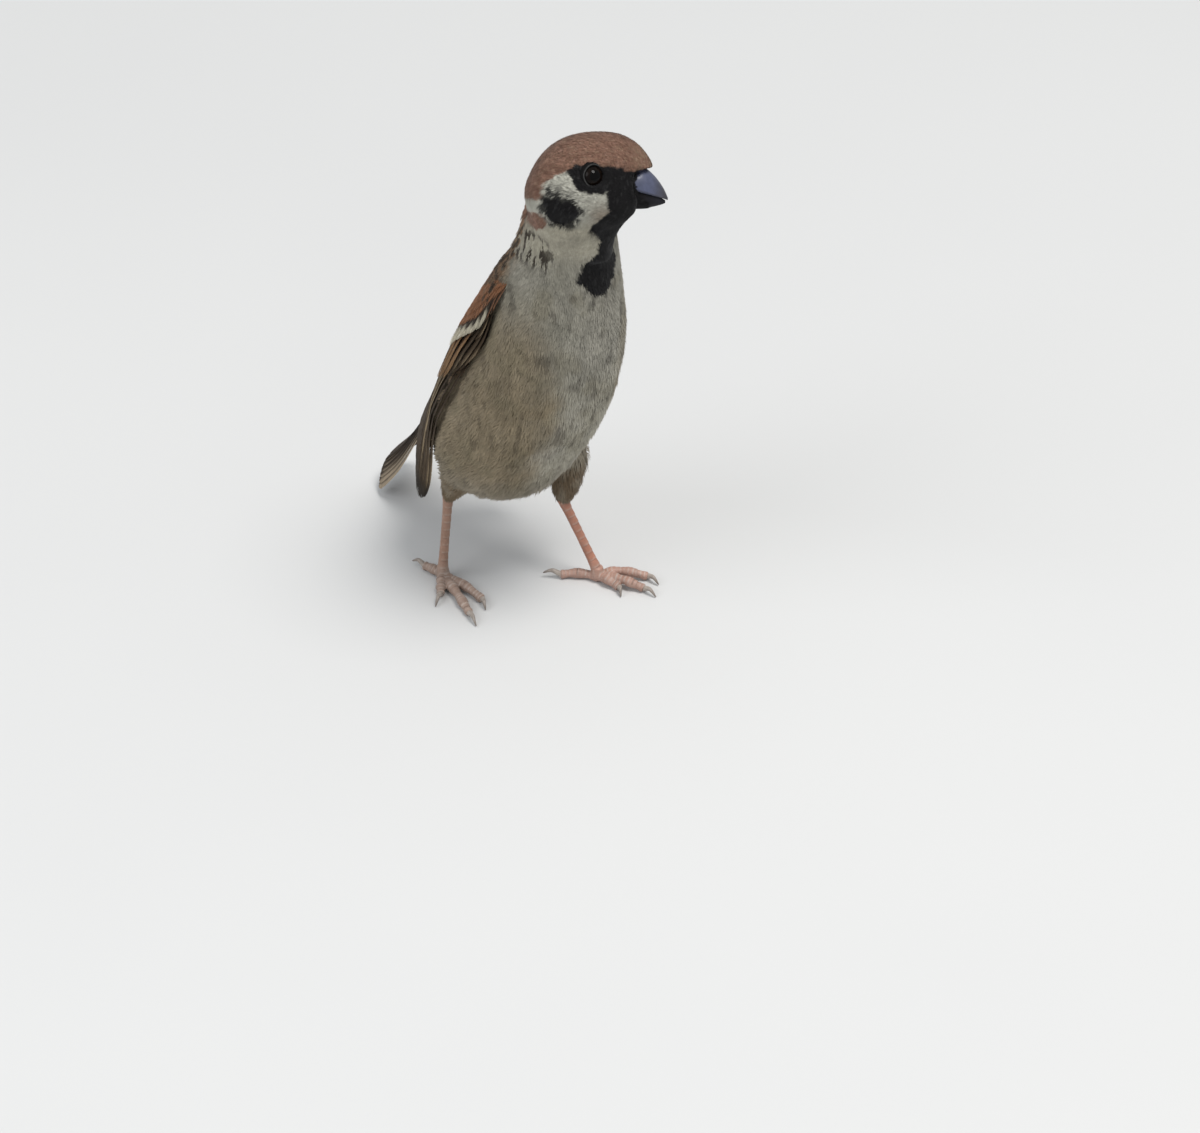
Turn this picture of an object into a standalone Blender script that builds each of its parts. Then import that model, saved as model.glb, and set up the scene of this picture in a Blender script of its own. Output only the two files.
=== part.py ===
"""Eurasian tree sparrow, standing with its head turned and cocked: a still, life-size model.

The bird faces -Y, its left side is +X, and it stands on the plane z = 0.
Sizes below are in millimetres and are given as (left, forward, up) of the bird.
"""

import math

import bmesh
import bpy
import numpy as np
from mathutils import Matrix, Vector

MM = 0.001
GAP = 0.3  # clearance between touching parts
ORIGIN = (-0.747, -6.214)  # (left, forward) of the middle of the bounding box
RING_SIDES = 24
FINENESS = 2  # rings between one section and the next
ROD_STEPS = 3  # points between one point of a toe, a claw or the tail and the next
WELD = 0.002  # how close the points of a tube's caps lie to its sides

# Sections of the body from the tail coverts up to the inside of the head:
# back (forward, up), belly (forward, up), half width, and how far left of the middle the belly
# hangs, since the weight is on the right leg.
BODY_SECTIONS = (
    (-21.6, 38.2, -16.3, 29.0, 7.2, -0.4),
    (-17.6, 44.4, -8.0, 23.0, 11.8, -2.6),
    (-13.8, 51.6, 1.6, 21.4, 14.4, -3.6),
    (-10.0, 59.4, 12.0, 30.2, 15.8, -2.6),
    (-6.0, 67.2, 20.2, 44.0, 16.4, -0.6),
    (-1.8, 75.0, 24.6, 60.0, 15.6, 0.0),
    (2.6, 82.8, 26.0, 75.0, 13.0, 0.0),
    (6.8, 90.8, 25.9, 87.8, 10.7, 0.0),
    (9.4, 99.4, 25.9, 98.6, 9.8, 0.0),
    (12.6, 106.0, 25.4, 105.4, 8.0, 0.0),
)
NECK_CUT = 6.35  # where along the sections the neck parts from the trunk
NECK_GAP = 0.045  # the clearance there, as a share of one section
WIDEST = 0.47  # how far from back to belly the body is widest

# Sections of the tail behind the coverts: centre (left, forward, up), half width, thickness above
# and below the centre, and the roll that lowers its right edge, in degrees.
TAIL_SECTIONS = (
    (0.0, -25.0, 29.4, 7.2, 2.4, 4.2, 12.0),
    (-0.4, -30.5, 22.2, 8.6, 1.6, 2.8, 22.0),
    (-0.5, -37.4, 12.1, 8.4, 1.1, 1.5, 24.0),
    (-0.9, -43.8, 4.7, 7.2, 0.7, 0.8, 22.0),
)
TAIL_ROOF = 2.6  # how far the edges of the tail hang below its middle
TAIL_NOTCH = 1.6  # how far the outer feathers reach past the middle ones
TAIL_CORNER = 0.6  # how much of that the rounded outer corners give back

# The head in its own frame, from nape to forehead: forward, top, bottom, half width.
HEAD_CENTRE = (1.8, 21.3, 107.1)
HEAD_TURN = 55.0  # to the bird's left
HEAD_COCK = 31.0  # right side up
HEAD_NOD = 3.0
HEAD_SECTIONS = (
    (-12.4, -1.9, -5.4, 2.2),
    (-11.5, 0.5, -7.8, 4.6),
    (-9.6, 4.0, -9.5, 6.8),
    (-6.4, 7.0, -10.4, 8.4),
    (-2.4, 8.6, -10.8, 9.0),
    (1.8, 9.1, -10.8, 8.7),
    (5.4, 8.9, -10.2, 7.5),
    (8.2, 7.8, -8.0, 5.8),
    (10.0, 6.4, -5.8, 4.5),
    (11.4, 4.6, -2.0, 3.4),
    (12.3, 2.8, 0.0, 2.2),
)
CHEEK_LEVEL = 0.58  # how far from crown to chin the head is widest

EYE_RADIUS = 2.55
EYE_SEGMENTS, EYE_RINGS = 18, 10
EYE_PLACE = (0.0, 0.35, 6.2)  # forward, up and outward in the head's frame

# The bill in the head's frame, from inside the face to the tip: forward, culmen height, height of
# the cutting edge, depth of the lower edge, half width.
BILL_SECTIONS = (
    (6.6, 3.0, -2.2, -5.7, 3.5),
    (8.8, 2.7, -2.4, -6.0, 3.45),
    (11.0, 1.9, -2.8, -5.85, 2.9),
    (13.0, 0.3, -3.3, -5.5, 2.1),
    (14.7, -1.8, -3.8, -5.1, 1.15),
    (15.7, -3.7, -4.2, -4.75, 0.4),
)
LOWER_BILL_SHORT = 0.5  # the lower half ends this far behind the tip
LOWER_BILL_WIDTH = 0.86  # its width as a share of the upper half's
BILL_THINNEST = 0.25  # height of either half at the tip
BILL_FLATNESS = 0.8  # under 1 gives the halves steeper sides than a circle's
BILL_ARC = 9  # faces over the arch of either half

# The right wing from shoulder to tip: lower edge and upper edge (left, forward, up), thickness,
# outward bulge of its middle.
WING_SECTIONS = (
    ((-10.6, 11.8, 84.8), (-7.4, 6.0, 85.4), 1.4, 0.4),
    ((-13.2, 10.4, 79.0), (-6.0, 1.6, 78.6), 1.9, 0.5),
    ((-15.2, 9.0, 69.4), (-4.9, -3.8, 68.4), 2.6, 2.1),
    ((-16.5, 4.2, 60.8), (-4.4, -8.9, 58.8), 2.5, 2.3),
    ((-17.0, -0.2, 52.0), (-4.8, -12.9, 49.8), 2.3, 2.1),
    ((-16.8, -5.4, 42.4), (-7.0, -16.4, 40.4), 2.0, 1.4),
    ((-15.9, -8.7, 33.5), (-11.0, -17.6, 32.2), 1.7, 0.6),
    ((-15.0, -10.9, 25.6), (-12.6, -17.8, 24.4), 1.4, 0.3),
    ((-14.5, -13.4, 17.6), (-13.6, -17.0, 16.8), 1.0, 0.2),
)
WING_ARC = 7  # faces across a wing
WING_EDGE = 0.25  # half the thickness at its edges
WING_FULLNESS = 0.6  # under 1 keeps the wing thick towards its edges
WING_SLOPE = 0.3  # how far along the sections its direction is measured

# Legs: hip inside the belly, heel and foot (left, forward, up).
HIPS = {"right": (-10.4, -3.0, 31.0), "left": (9.2, 4.0, 31.0)}
HEELS = {"right": (-12.0, -8.3, 18.6), "left": (7.2, 5.4, 17.4)}
ANKLES = {"right": (-14.0, -7.6, 2.3), "left": (11.0, 11.6, 2.3)}
THIGH_SHARES = (0.0, 0.35, 0.75, 1.0)  # of the way from hip to heel
THIGH_RADII = {"right": (5.2, 4.0, 2.1, 1.35), "left": (4.4, 3.6, 2.9, 1.6)}
CUFF_SHARES = (0.5, 0.75)  # the feathered end of the thigh that the tarsus stays clear of
TARSUS_SHARES = (-0.02, 0.3, 0.75)  # of the way from heel to ankle
TARSUS_RADII = (1.15, 0.95, 0.92, 1.1)
ANKLE_SHARE = 0.07  # how much of the tarsus belongs to the foot
FOOT_RADII = (1.5, 1.35)  # of the foot where the toes meet

# Toes on the floor, from the foot outward: knuckle, toe end, claw tip (left, forward), the height
# of the arch at the knuckle, and the height of the claw tip.
TOES = {
    "right": {
        "middle": ((-16.0, 0.4), (-17.6, 6.4), (-18.7, 10.2), 1.3, 0.2),
        "inner": ((-13.0, -1.4), (-12.6, 4.0), (-13.8, 6.8), 1.3, 0.2),
        "outer": ((-16.4, -4.9), (-18.2, -2.6), (-21.2, -0.3), 1.2, 0.2),
        "hind": ((-14.4, -10.3), (-14.9, -12.6), (-15.9, -15.4), 1.1, 0.9),
    },
    "left": {
        "middle": ((13.4, 16.6), (16.0, 20.8), (16.6, 24.0), 1.9, 0.2),
        "inner": ((11.4, 14.6), (12.2, 17.4), (11.0, 19.6), 1.5, 0.2),
        "outer": ((15.0, 14.2), (19.2, 17.8), (19.6, 21.0), 1.9, 0.3),
        "hind": ((8.2, 8.6), (5.4, 6.6), (2.6, 4.4), 1.1, 1.2),
    },
}
TOE_HEIGHT = 0.82  # height of a toe's axis above the floor
TOE_ROOT_RISE = 0.1  # how much higher it is under the ankle
TOE_RADII = {"root": 1.12, "knuckle": 0.95, "end": 0.9}
CLAW_RADIUS = 0.62
CLAW_TIP_RADIUS = 0.17
CLAW_TAPER = 1.3  # over 1 keeps the claw thick for longer
CLAW_ROOT_RISE = 0.1
CLAW_RISE = 0.75
FLOOR_BLOCK = 200.0  # size of the block that flattens the toes

COLOURS = {
    "trunk": (0.30, 0.25, 0.20),
    "neck": (0.48, 0.44, 0.38),
    "head": (0.20, 0.09, 0.05),
    "thigh": (0.26, 0.21, 0.16),
    "wing": (0.17, 0.09, 0.05),
    "tail": (0.09, 0.06, 0.05),
    "leg": (0.42, 0.20, 0.14),
    "claw": (0.16, 0.11, 0.08),
    "bill": (0.03, 0.03, 0.04),
    "eye": (0.01, 0.007, 0.005),
}
ROUGHNESS = {"bill": 0.35, "claw": 0.4, "eye": 0.08, "leg": 0.55}


def place(left, forward, up):
    """World position, in metres, of a point given in the bird's millimetres."""
    return Vector((left - ORIGIN[0], ORIGIN[1] - forward, up)) * MM


def head_place(forward, up, left):
    """World position of a point given in the head's own frame."""
    turn = math.radians(HEAD_TURN)
    cock = math.radians(HEAD_COCK)
    nod = math.radians(HEAD_NOD)
    ahead = np.array((math.sin(turn), math.cos(turn), 0.0))
    side = np.array((math.cos(turn), -math.sin(turn), 0.0))
    rise = np.array((0.0, 0.0, 1.0))
    crown = math.cos(cock) * rise + math.sin(cock) * side
    flank = math.cos(cock) * side - math.sin(cock) * rise
    front = math.cos(nod) * ahead - math.sin(nod) * crown
    crown = math.cos(nod) * crown + math.sin(nod) * ahead
    point = np.array(HEAD_CENTRE) + forward * front + up * crown + left * flank
    return place(*point)


def smooth_row(rows, at):
    """The row at a fractional index, on a smooth curve through all the rows."""
    rows = np.asarray(rows, float)
    start = min(int(at), len(rows) - 2)
    t = at - start
    before = rows[max(start - 1, 0)]
    first, second = rows[start], rows[start + 1]
    after = rows[min(start + 2, len(rows) - 1)]
    slope_first = (second - before) / 2
    slope_second = (after - first) / 2
    return (
        (2 * t**3 - 3 * t**2 + 1) * first
        + (t**3 - 2 * t**2 + t) * slope_first
        + (3 * t**2 - 2 * t**3) * second
        + (t**3 - t**2) * slope_second
    )


def steps(start, end, per_section):
    """Evenly spaced fractional indices from start to end."""
    count = max(int(round((end - start) * per_section)), 1)
    return [start + (end - start) * i / count for i in range(count + 1)]


def collection_for(name):
    """A new collection in the scene."""
    made = bpy.data.collections.new(name)
    bpy.context.scene.collection.children.link(made)
    return made


def clear_scene():
    for old in list(bpy.data.objects):
        bpy.data.objects.remove(old, do_unlink=True)


def material_for(kind):
    """A Principled material with the colour of one kind of part."""
    if kind in bpy.data.materials:
        return bpy.data.materials[kind]
    made = bpy.data.materials.new(kind)
    made.use_nodes = True
    shader = made.node_tree.nodes["Principled BSDF"]
    shader.inputs["Base Color"].default_value = (*COLOURS[kind], 1.0)
    shader.inputs["Roughness"].default_value = ROUGHNESS.get(kind, 0.85)
    shader.inputs["Metallic"].default_value = 0.0
    made.diffuse_color = (*COLOURS[kind], 1.0)
    return made


def add_mesh(name, mesh, collection, kind):
    """An object for a mesh, smooth, with the material of its kind."""
    mesh.shade_smooth()
    made = bpy.data.objects.new(name, mesh)
    collection.objects.link(made)
    if kind is None:
        made.hide_render = True
        made.display_type = "WIRE"
    else:
        mesh.materials.append(material_for(kind))
    return made


def loft(name, rings, collection, kind):
    """A closed solid through rings of points, with flat ends."""
    shape = bmesh.new()
    corners = [[shape.verts.new(point) for point in ring] for ring in rings]
    sides = len(rings[0])
    for lower, upper in zip(corners, corners[1:]):
        for i in range(sides):
            j = (i + 1) % sides
            shape.faces.new((lower[i], lower[j], upper[j], upper[i]))
    shape.faces.new(corners[0])
    shape.faces.new(corners[-1])
    bmesh.ops.recalc_face_normals(shape, faces=shape.faces)
    mesh = bpy.data.meshes.new(name)
    shape.to_mesh(mesh)
    shape.free()
    return add_mesh(name, mesh, collection, kind)


def tube(name, points, radii, collection, kind, sides=10):
    """A round tapering rod along points, made as a bevelled curve and turned into a mesh."""
    curve = bpy.data.curves.new(name, "CURVE")
    curve.dimensions = "3D"
    curve.bevel_depth = MM
    curve.bevel_resolution = sides // 2 - 2
    curve.use_fill_caps = True
    spline = curve.splines.new("POLY")
    spline.points.add(len(points) - 1)
    for spot, point, radius in zip(spline.points, points, radii):
        spot.co = (*point, 1.0)
        spot.radius = radius
    guide = bpy.data.objects.new(name + "_curve", curve)
    bpy.context.scene.collection.objects.link(guide)
    bpy.context.view_layer.update()
    graph = bpy.context.evaluated_depsgraph_get()
    mesh = bpy.data.meshes.new_from_object(guide.evaluated_get(graph))
    bpy.data.objects.remove(guide, do_unlink=True)
    shape = bmesh.new()
    shape.from_mesh(mesh)
    bmesh.ops.remove_doubles(shape, verts=shape.verts, dist=WELD * MM)
    bmesh.ops.recalc_face_normals(shape, faces=shape.faces)
    shape.to_mesh(mesh)
    shape.free()
    return add_mesh(name, mesh, collection, kind)


def ball(name, centre, radius, collection, kind):
    """A sphere with its centre and radius in metres."""
    shape = bmesh.new()
    bmesh.ops.create_uvsphere(
        shape,
        u_segments=EYE_SEGMENTS,
        v_segments=EYE_RINGS,
        radius=radius,
        matrix=Matrix.Translation(centre),
    )
    mesh = bpy.data.meshes.new(name)
    shape.to_mesh(mesh)
    shape.free()
    return add_mesh(name, mesh, collection, kind)


def combine(target, other, operation):
    """Leaves an exact Boolean with another object on the target."""
    change = target.modifiers.new(operation.lower() + "_" + other.name, "BOOLEAN")
    change.operation = operation
    change.solver = "EXACT"
    change.object = other


def body_ring(at, margin=0.0):
    """One ring of the body: an oval from back to belly, widest a little nearer the back."""
    back_f, back_u, belly_f, belly_u, half, hang = smooth_row(BODY_SECTIONS, at)
    back = np.array((0.0, back_f, back_u))
    belly = np.array((hang, belly_f, belly_u))
    depth = np.linalg.norm(belly - back)
    down = (belly - back) / depth
    centre = back + WIDEST * (belly - back)
    points = []
    for i in range(RING_SIDES):
        angle = 2 * math.pi * i / RING_SIDES
        along = WIDEST * depth if math.cos(angle) > 0 else (1 - WIDEST) * depth
        point = centre - down * math.cos(angle) * (along + margin)
        point = point + np.array((math.sin(angle) * (half + margin), 0.0, 0.0))
        points.append(place(*point))
    return points


def tail_ring(row, axis, notch):
    """One ring of the tail: a thin oval with hanging edges, rolled about the tail's axis."""
    centre, half, above, below, roll = row[:3], row[3], row[4], row[5], math.radians(row[6])
    up = np.array((0.0, axis[2], -axis[1]))
    up = up / np.linalg.norm(up)
    side = np.array((1.0, 0.0, 0.0))
    left = math.cos(roll) * side + math.sin(roll) * up
    top = math.cos(roll) * up - math.sin(roll) * side
    points = []
    for i in range(RING_SIDES):
        angle = 2 * math.pi * i / RING_SIDES
        thick = above if math.cos(angle) > 0 else below
        across = math.sin(angle)
        point = centre + left * half * across
        point = point + top * (thick * math.cos(angle) - TAIL_ROOF * across**2)
        point = point + axis * notch * (across**2 - across**4 * TAIL_CORNER)
        points.append(place(*point))
    return points


def make_trunk(parts, beds):
    """The trunk, hollowed where the wings lie against it."""
    rings = [body_ring(at) for at in steps(0.0, NECK_CUT, FINENESS)]
    trunk = loft("trunk", rings, parts, "trunk")
    for bed in beds:
        combine(trunk, bed, "DIFFERENCE")


def make_neck(parts, cutters, beds):
    """The neck, from the trunk up to where it meets the head."""
    last = len(BODY_SECTIONS) - 1.0
    rings = [body_ring(at) for at in steps(NECK_CUT + NECK_GAP, last, 2 * FINENESS)]
    neck = loft("neck", rings, parts, "neck")
    seat = loft("head_seat", head_rings(GAP), cutters, None)
    for other in (seat, *beds):
        combine(neck, other, "DIFFERENCE")


def make_tail(parts):
    """The tail, a closed fan that widens to a shallow notch, with its coverts at the root."""
    rows = np.array(TAIL_SECTIONS, float)
    root = body_ring(0.0)
    axis = rows[-1][:3] - rows[0][:3]
    axis = axis / np.linalg.norm(axis)
    clear = place(*(axis * GAP)) - place(0.0, 0.0, 0.0)
    rings = [[point + clear for point in root]]
    last = len(rows) - 1.0
    for at in steps(0.0, last, ROD_STEPS):
        notch = TAIL_NOTCH * (at / last) ** 6
        rings.append(tail_ring(smooth_row(rows, at), axis, notch))
    loft("tail", rings, parts, "tail")


def wing_rings(side, margin=0.0):
    """Rings of a folded wing: thin lens sections between its lower and its upper edge."""
    rows = [(*low, *high, thick, bulge) for low, high, thick, bulge in WING_SECTIONS]
    rings = []
    last = len(rows) - 1.0
    for at in steps(0.0, last, FINENESS):
        row = smooth_row(rows, at)
        low, high, thick, bulge = row[:3], row[3:6], row[6] / 2, row[7]
        across = (high - low) / np.linalg.norm(high - low)
        nearer = smooth_row(rows, max(at - WING_SLOPE, 0.0))
        ahead = nearer - smooth_row(rows, min(at + WING_SLOPE, last))
        along = ahead[:3] / np.linalg.norm(ahead[:3])
        out = np.cross(along, across)
        out = out / np.linalg.norm(out)
        out = out * (-1.0 if out[0] > 0 else 1.0)
        low = low - across * margin
        high = high + across * margin
        if at == 0.0 and margin:
            low, high = low + along * margin, high + along * margin
        if at == last and margin:
            low, high = low - along * margin, high - along * margin
        outer, inner = [], []
        for i in range(WING_ARC + 1):
            t = i / WING_ARC
            lens = (thick - WING_EDGE) * math.sin(math.pi * t) ** WING_FULLNESS + WING_EDGE
            middle = low + (high - low) * t + out * bulge * math.sin(math.pi * t)
            outer.append(middle + out * (lens + margin))
            inner.append(middle - out * (lens + margin))
        ring = outer + inner[::-1]
        rings.append([place(side * -point[0], point[1], point[2]) for point in ring])
    return rings


def make_wings(parts):
    for name, side in (("right", 1), ("left", -1)):
        loft(f"wing_{name}", wing_rings(side), parts, "wing")


def head_rings(margin=0.0):
    """Rings of the head from nape to forehead, each widest at the cheek."""
    rings = []
    last = len(HEAD_SECTIONS) - 1.0
    for at in steps(0.0, last, FINENESS):
        forward, top, bottom, half = smooth_row(HEAD_SECTIONS, at)
        middle = top + CHEEK_LEVEL * (bottom - top)
        reach = forward + margin * (at == last) - margin * (at == 0.0)
        ring = []
        for i in range(RING_SIDES):
            angle = 2 * math.pi * i / RING_SIDES
            limit = top + margin if math.cos(angle) > 0 else bottom - margin
            up = middle + abs(math.cos(angle)) * (limit - middle)
            ring.append(head_place(reach, up, (half + margin) * math.sin(angle)))
        rings.append(ring)
    return rings


def bill_arc(at, rise, margin=0.0):
    """Half of a ring of the bill: an arch over the cutting edge (rise 1) or under it (rise -1)."""
    forward, culmen, edge, lower, half = smooth_row(BILL_SECTIONS, at)
    if rise < 0:
        half = half * LOWER_BILL_WIDTH
    base = edge + rise * max(GAP / 2 - margin, 0.0)
    height = max(abs((culmen if rise > 0 else lower) - base), BILL_THINNEST) + margin
    points = []
    for i in range(BILL_ARC + 1):
        angle = math.pi * i / BILL_ARC
        side = rise * math.copysign(abs(math.cos(angle)) ** BILL_FLATNESS, math.cos(angle))
        up = base + rise * math.sin(angle) * height
        points.append((forward, up, (half + margin) * side))
    return points


def bill_rings(rise):
    """Rings of one half of the bill."""
    last = len(BILL_SECTIONS) - 1.0
    rings = []
    for at in steps(0.0, last, FINENESS):
        short = 0.0 if rise > 0 else LOWER_BILL_SHORT * at / last
        arc = bill_arc(at, rise)
        rings.append([head_place(forward - short, up, side) for forward, up, side in arc])
    return rings


def bill_root_rings():
    """Rings round the whole bill, a little larger, for the opening in the face."""
    rings = []
    for at in steps(0.0, len(BILL_SECTIONS) - 1.0, FINENESS):
        over = bill_arc(at, 1.0, GAP)
        under = bill_arc(at, -1.0, GAP)
        rings.append([head_place(*point) for point in over + under])
    return rings


def eye_centre(side):
    forward, up, out = EYE_PLACE
    return head_place(forward, up, out * side)


def make_head(parts, cutters):
    """The head, with sockets for the eyes and the bill."""
    head = loft("head", head_rings(), parts, "head")
    for name, side in (("right", -1), ("left", 1)):
        ball(f"eye_{name}", eye_centre(side), EYE_RADIUS * MM, parts, "eye")
        socket = ball(f"socket_{name}", eye_centre(side), (EYE_RADIUS + GAP) * MM, cutters, None)
        combine(head, socket, "DIFFERENCE")
    for name, rise in (("upper", 1.0), ("lower", -1.0)):
        loft(f"bill_{name}", bill_rings(rise), parts, "bill")
    root = loft("bill_root", bill_root_rings(), cutters, None)
    combine(head, root, "DIFFERENCE")


def line(start, end, shares):
    """Points at the given shares of the way between two places of the bird."""
    start, end = np.array(start, float), np.array(end, float)
    return [place(*(start + (end - start) * share)) for share in shares]


def make_leg(side, parts, cutters, belly):
    """The feathered thigh and the bare tarsus below it."""
    hip, heel, ankle = HIPS[side], HEELS[side], ANKLES[side]
    thigh = tube(
        f"thigh_{side}", line(hip, heel, THIGH_SHARES), THIGH_RADII[side], parts, "thigh", sides=16
    )
    combine(thigh, belly, "DIFFERENCE")
    length = math.dist(heel, ankle)
    shares = (*TARSUS_SHARES, 1.0 - ANKLE_SHARE - GAP / length)
    shank = tube(
        f"tarsus_{side}", line(heel, ankle, shares), TARSUS_RADII, parts, "leg", sides=12
    )
    reach = line(hip, heel, (*CUFF_SHARES, 1.0 + GAP / math.dist(hip, heel)))
    cuff = tube(
        f"cuff_{side}", reach, np.array(THIGH_RADII[side][1:]) + GAP, cutters, None, sides=16
    )
    combine(shank, cuff, "DIFFERENCE")


def toe_points(side, knuckle, end, arch):
    """Axis of a toe from the foot over its arched knuckle to its end on the floor."""
    left, forward, _ = ANKLES[side]
    rows = (
        (left, forward, TOE_HEIGHT + TOE_ROOT_RISE),
        (*knuckle, arch),
        (*end, TOE_HEIGHT),
    )
    return [smooth_row(rows, at) for at in steps(0.0, 2.0, ROD_STEPS)]


def claw_points(toe, tip, tip_height):
    """Axis of a claw: out of the toe's end, over a low arc and down to its tip."""
    start = np.array((*toe[-1][:2], TOE_HEIGHT + CLAW_ROOT_RISE))
    tip = np.array((*tip, tip_height))
    rows = (start, start + (tip - start) * 0.5 + np.array((0.0, 0.0, CLAW_RISE)), tip)
    return [smooth_row(rows, at) for at in steps(0.0, 2.0, ROD_STEPS)]


def make_foot(side, parts, cutters, floor):
    """The four toes joined at the foot, flat underneath, each with its own claw."""
    left, forward, _ = ANKLES[side]
    top = line(HEELS[side], ANKLES[side], (1.0, 1.0 - ANKLE_SHARE))
    pad = [place(left, forward, TOE_HEIGHT + TOE_ROOT_RISE), *top]
    radii = (*FOOT_RADII, TARSUS_RADII[-1])
    foot = tube(f"foot_{side}", pad, radii, parts, "leg", sides=14)
    for name, (knuckle, end, tip, arch, tip_height) in TOES[side].items():
        toe = toe_points(side, knuckle, end, arch)
        share = np.linspace(0.0, 1.0, len(toe))
        radii = np.interp(share, (0.0, 0.5, 1.0), tuple(TOE_RADII.values()))
        rod = tube(
            f"toe_{side}_{name}", [place(*p) for p in toe], radii, cutters, None, sides=10
        )
        combine(foot, rod, "UNION")
        claw = claw_points(toe, tip, tip_height)
        share = np.linspace(0.0, 1.0, len(claw)) ** CLAW_TAPER
        taper = CLAW_RADIUS + (CLAW_TIP_RADIUS - CLAW_RADIUS) * share
        horn = tube(
            f"claw_{side}_{name}", [place(*p) for p in claw], taper, parts, "claw", sides=8
        )
        ahead = (toe[-1] - toe[-2]) / np.linalg.norm(toe[-1] - toe[-2])
        reach = [toe[-2], toe[-1] + ahead * GAP]
        sleeve = tube(
            f"sleeve_{side}_{name}", [place(*p) for p in reach], radii[-2:] + GAP, cutters, None
        )
        combine(horn, sleeve, "DIFFERENCE")
    combine(foot, floor, "DIFFERENCE")


def make_floor_cutter(cutters):
    """A block below z = 0 that flattens whatever stands on the floor."""
    shape = bmesh.new()
    below = Matrix.Translation((0.0, 0.0, -FLOOR_BLOCK / 2 * MM))
    bmesh.ops.create_cube(shape, size=FLOOR_BLOCK * MM, matrix=below)
    mesh = bpy.data.meshes.new("floor_cutter")
    shape.to_mesh(mesh)
    shape.free()
    return add_mesh("floor_cutter", mesh, cutters, None)


def main():
    clear_scene()
    parts = collection_for("tree_sparrow")
    cutters = collection_for("cutters")
    cutters.hide_render = True
    beds = [loft(f"wing_bed_{side}", wing_rings(side, GAP), cutters, None) for side in (-1, 1)]
    make_trunk(parts, beds)
    make_neck(parts, cutters, beds)
    make_tail(parts)
    make_wings(parts)
    make_head(parts, cutters)
    floor = make_floor_cutter(cutters)
    rings = [body_ring(at, GAP) for at in steps(0.0, NECK_CUT, FINENESS)]
    belly = loft("belly", rings, cutters, None)
    for side in ("right", "left"):
        make_leg(side, parts, cutters, belly)
        make_foot(side, parts, cutters, floor)


main()
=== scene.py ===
"""Looks of the Eurasian tree sparrow: one skin under a coat of modelled feathers.

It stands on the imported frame, whose solids its own tables repeat.

Sizes are in millimetres of the row frame (+X is the bird's left, -Y is ahead of it, +Z is up)
until a mesh is made, and metres from there on.
"""

import itertools
import math

import bmesh
import bpy
import numpy as np
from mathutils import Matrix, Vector
from mathutils.bvhtree import BVHTree
from mathutils.kdtree import KDTree


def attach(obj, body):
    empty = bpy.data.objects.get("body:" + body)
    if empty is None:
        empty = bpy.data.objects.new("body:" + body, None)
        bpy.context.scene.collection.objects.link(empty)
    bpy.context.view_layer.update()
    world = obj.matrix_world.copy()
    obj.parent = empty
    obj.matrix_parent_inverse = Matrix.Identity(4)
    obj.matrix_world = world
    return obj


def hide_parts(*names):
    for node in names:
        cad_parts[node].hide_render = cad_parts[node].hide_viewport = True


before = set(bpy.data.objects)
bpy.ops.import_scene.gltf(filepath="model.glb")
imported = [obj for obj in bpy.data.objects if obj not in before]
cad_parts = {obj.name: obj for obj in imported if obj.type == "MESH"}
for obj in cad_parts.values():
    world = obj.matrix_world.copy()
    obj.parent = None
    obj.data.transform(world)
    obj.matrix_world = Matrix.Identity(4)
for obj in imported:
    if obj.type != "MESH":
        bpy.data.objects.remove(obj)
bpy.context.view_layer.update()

MM = 0.001
SEED = 7
SIDES = {"right": -1.0, "left": 1.0}

# ---------------------------------------------------------------- the solids' own dimensions
ORIGIN = (-0.747, -6.214)  # (left, forward) of the middle of the box
BODY_SECTIONS = (  # back, belly (forward, up), half width, belly's hang, from tail to head
    (-21.6, 38.2, -16.3, 29.0, 7.2, -0.4),
    (-17.6, 44.4, -8.0, 23.0, 11.8, -2.6),
    (-13.8, 51.6, 1.6, 21.4, 14.4, -3.6),
    (-10.0, 59.4, 12.0, 30.2, 15.8, -2.6),
    (-6.0, 67.2, 20.2, 44.0, 16.4, -0.6),
    (-1.8, 75.0, 24.6, 60.0, 15.6, 0.0),
    (2.6, 82.8, 26.0, 75.0, 13.0, 0.0),
    (6.8, 90.8, 25.9, 87.8, 10.7, 0.0),
    (9.4, 99.4, 25.9, 98.6, 9.8, 0.0),
    (12.6, 106.0, 25.4, 105.4, 8.0, 0.0),
)
WIDEST = 0.47
TAIL_SECTIONS = (  # centre (left, forward, up), half width, above, below, roll
    (0.0, -25.0, 29.4, 7.2, 2.4, 4.2, 12.0),
    (-0.4, -30.5, 22.2, 8.6, 1.6, 2.8, 22.0),
    (-0.5, -37.4, 12.1, 8.4, 1.1, 1.5, 24.0),
    (-0.9, -43.8, 4.7, 7.2, 0.7, 0.8, 22.0),
)
TAIL_ROOF = 2.6
HEAD_CENTRE = (1.8, 21.3, 107.1)
HEAD_TURN, HEAD_COCK, HEAD_NOD = 55.0, 31.0, 3.0
HEAD_SECTIONS = (  # forward, top, bottom, half width, from nape to forehead
    (-12.4, -1.9, -5.4, 2.2),
    (-11.5, 0.5, -7.8, 4.6),
    (-9.6, 4.0, -9.5, 6.8),
    (-6.4, 7.0, -10.4, 8.4),
    (-2.4, 8.6, -10.8, 9.0),
    (1.8, 9.1, -10.8, 8.7),
    (5.4, 8.9, -10.2, 7.5),
    (8.2, 7.8, -8.0, 5.8),
    (10.0, 6.4, -5.8, 4.5),
    (11.4, 4.6, -2.0, 3.4),
    (12.3, 2.8, 0.0, 2.2),
)
CHEEK_LEVEL = 0.58
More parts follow.
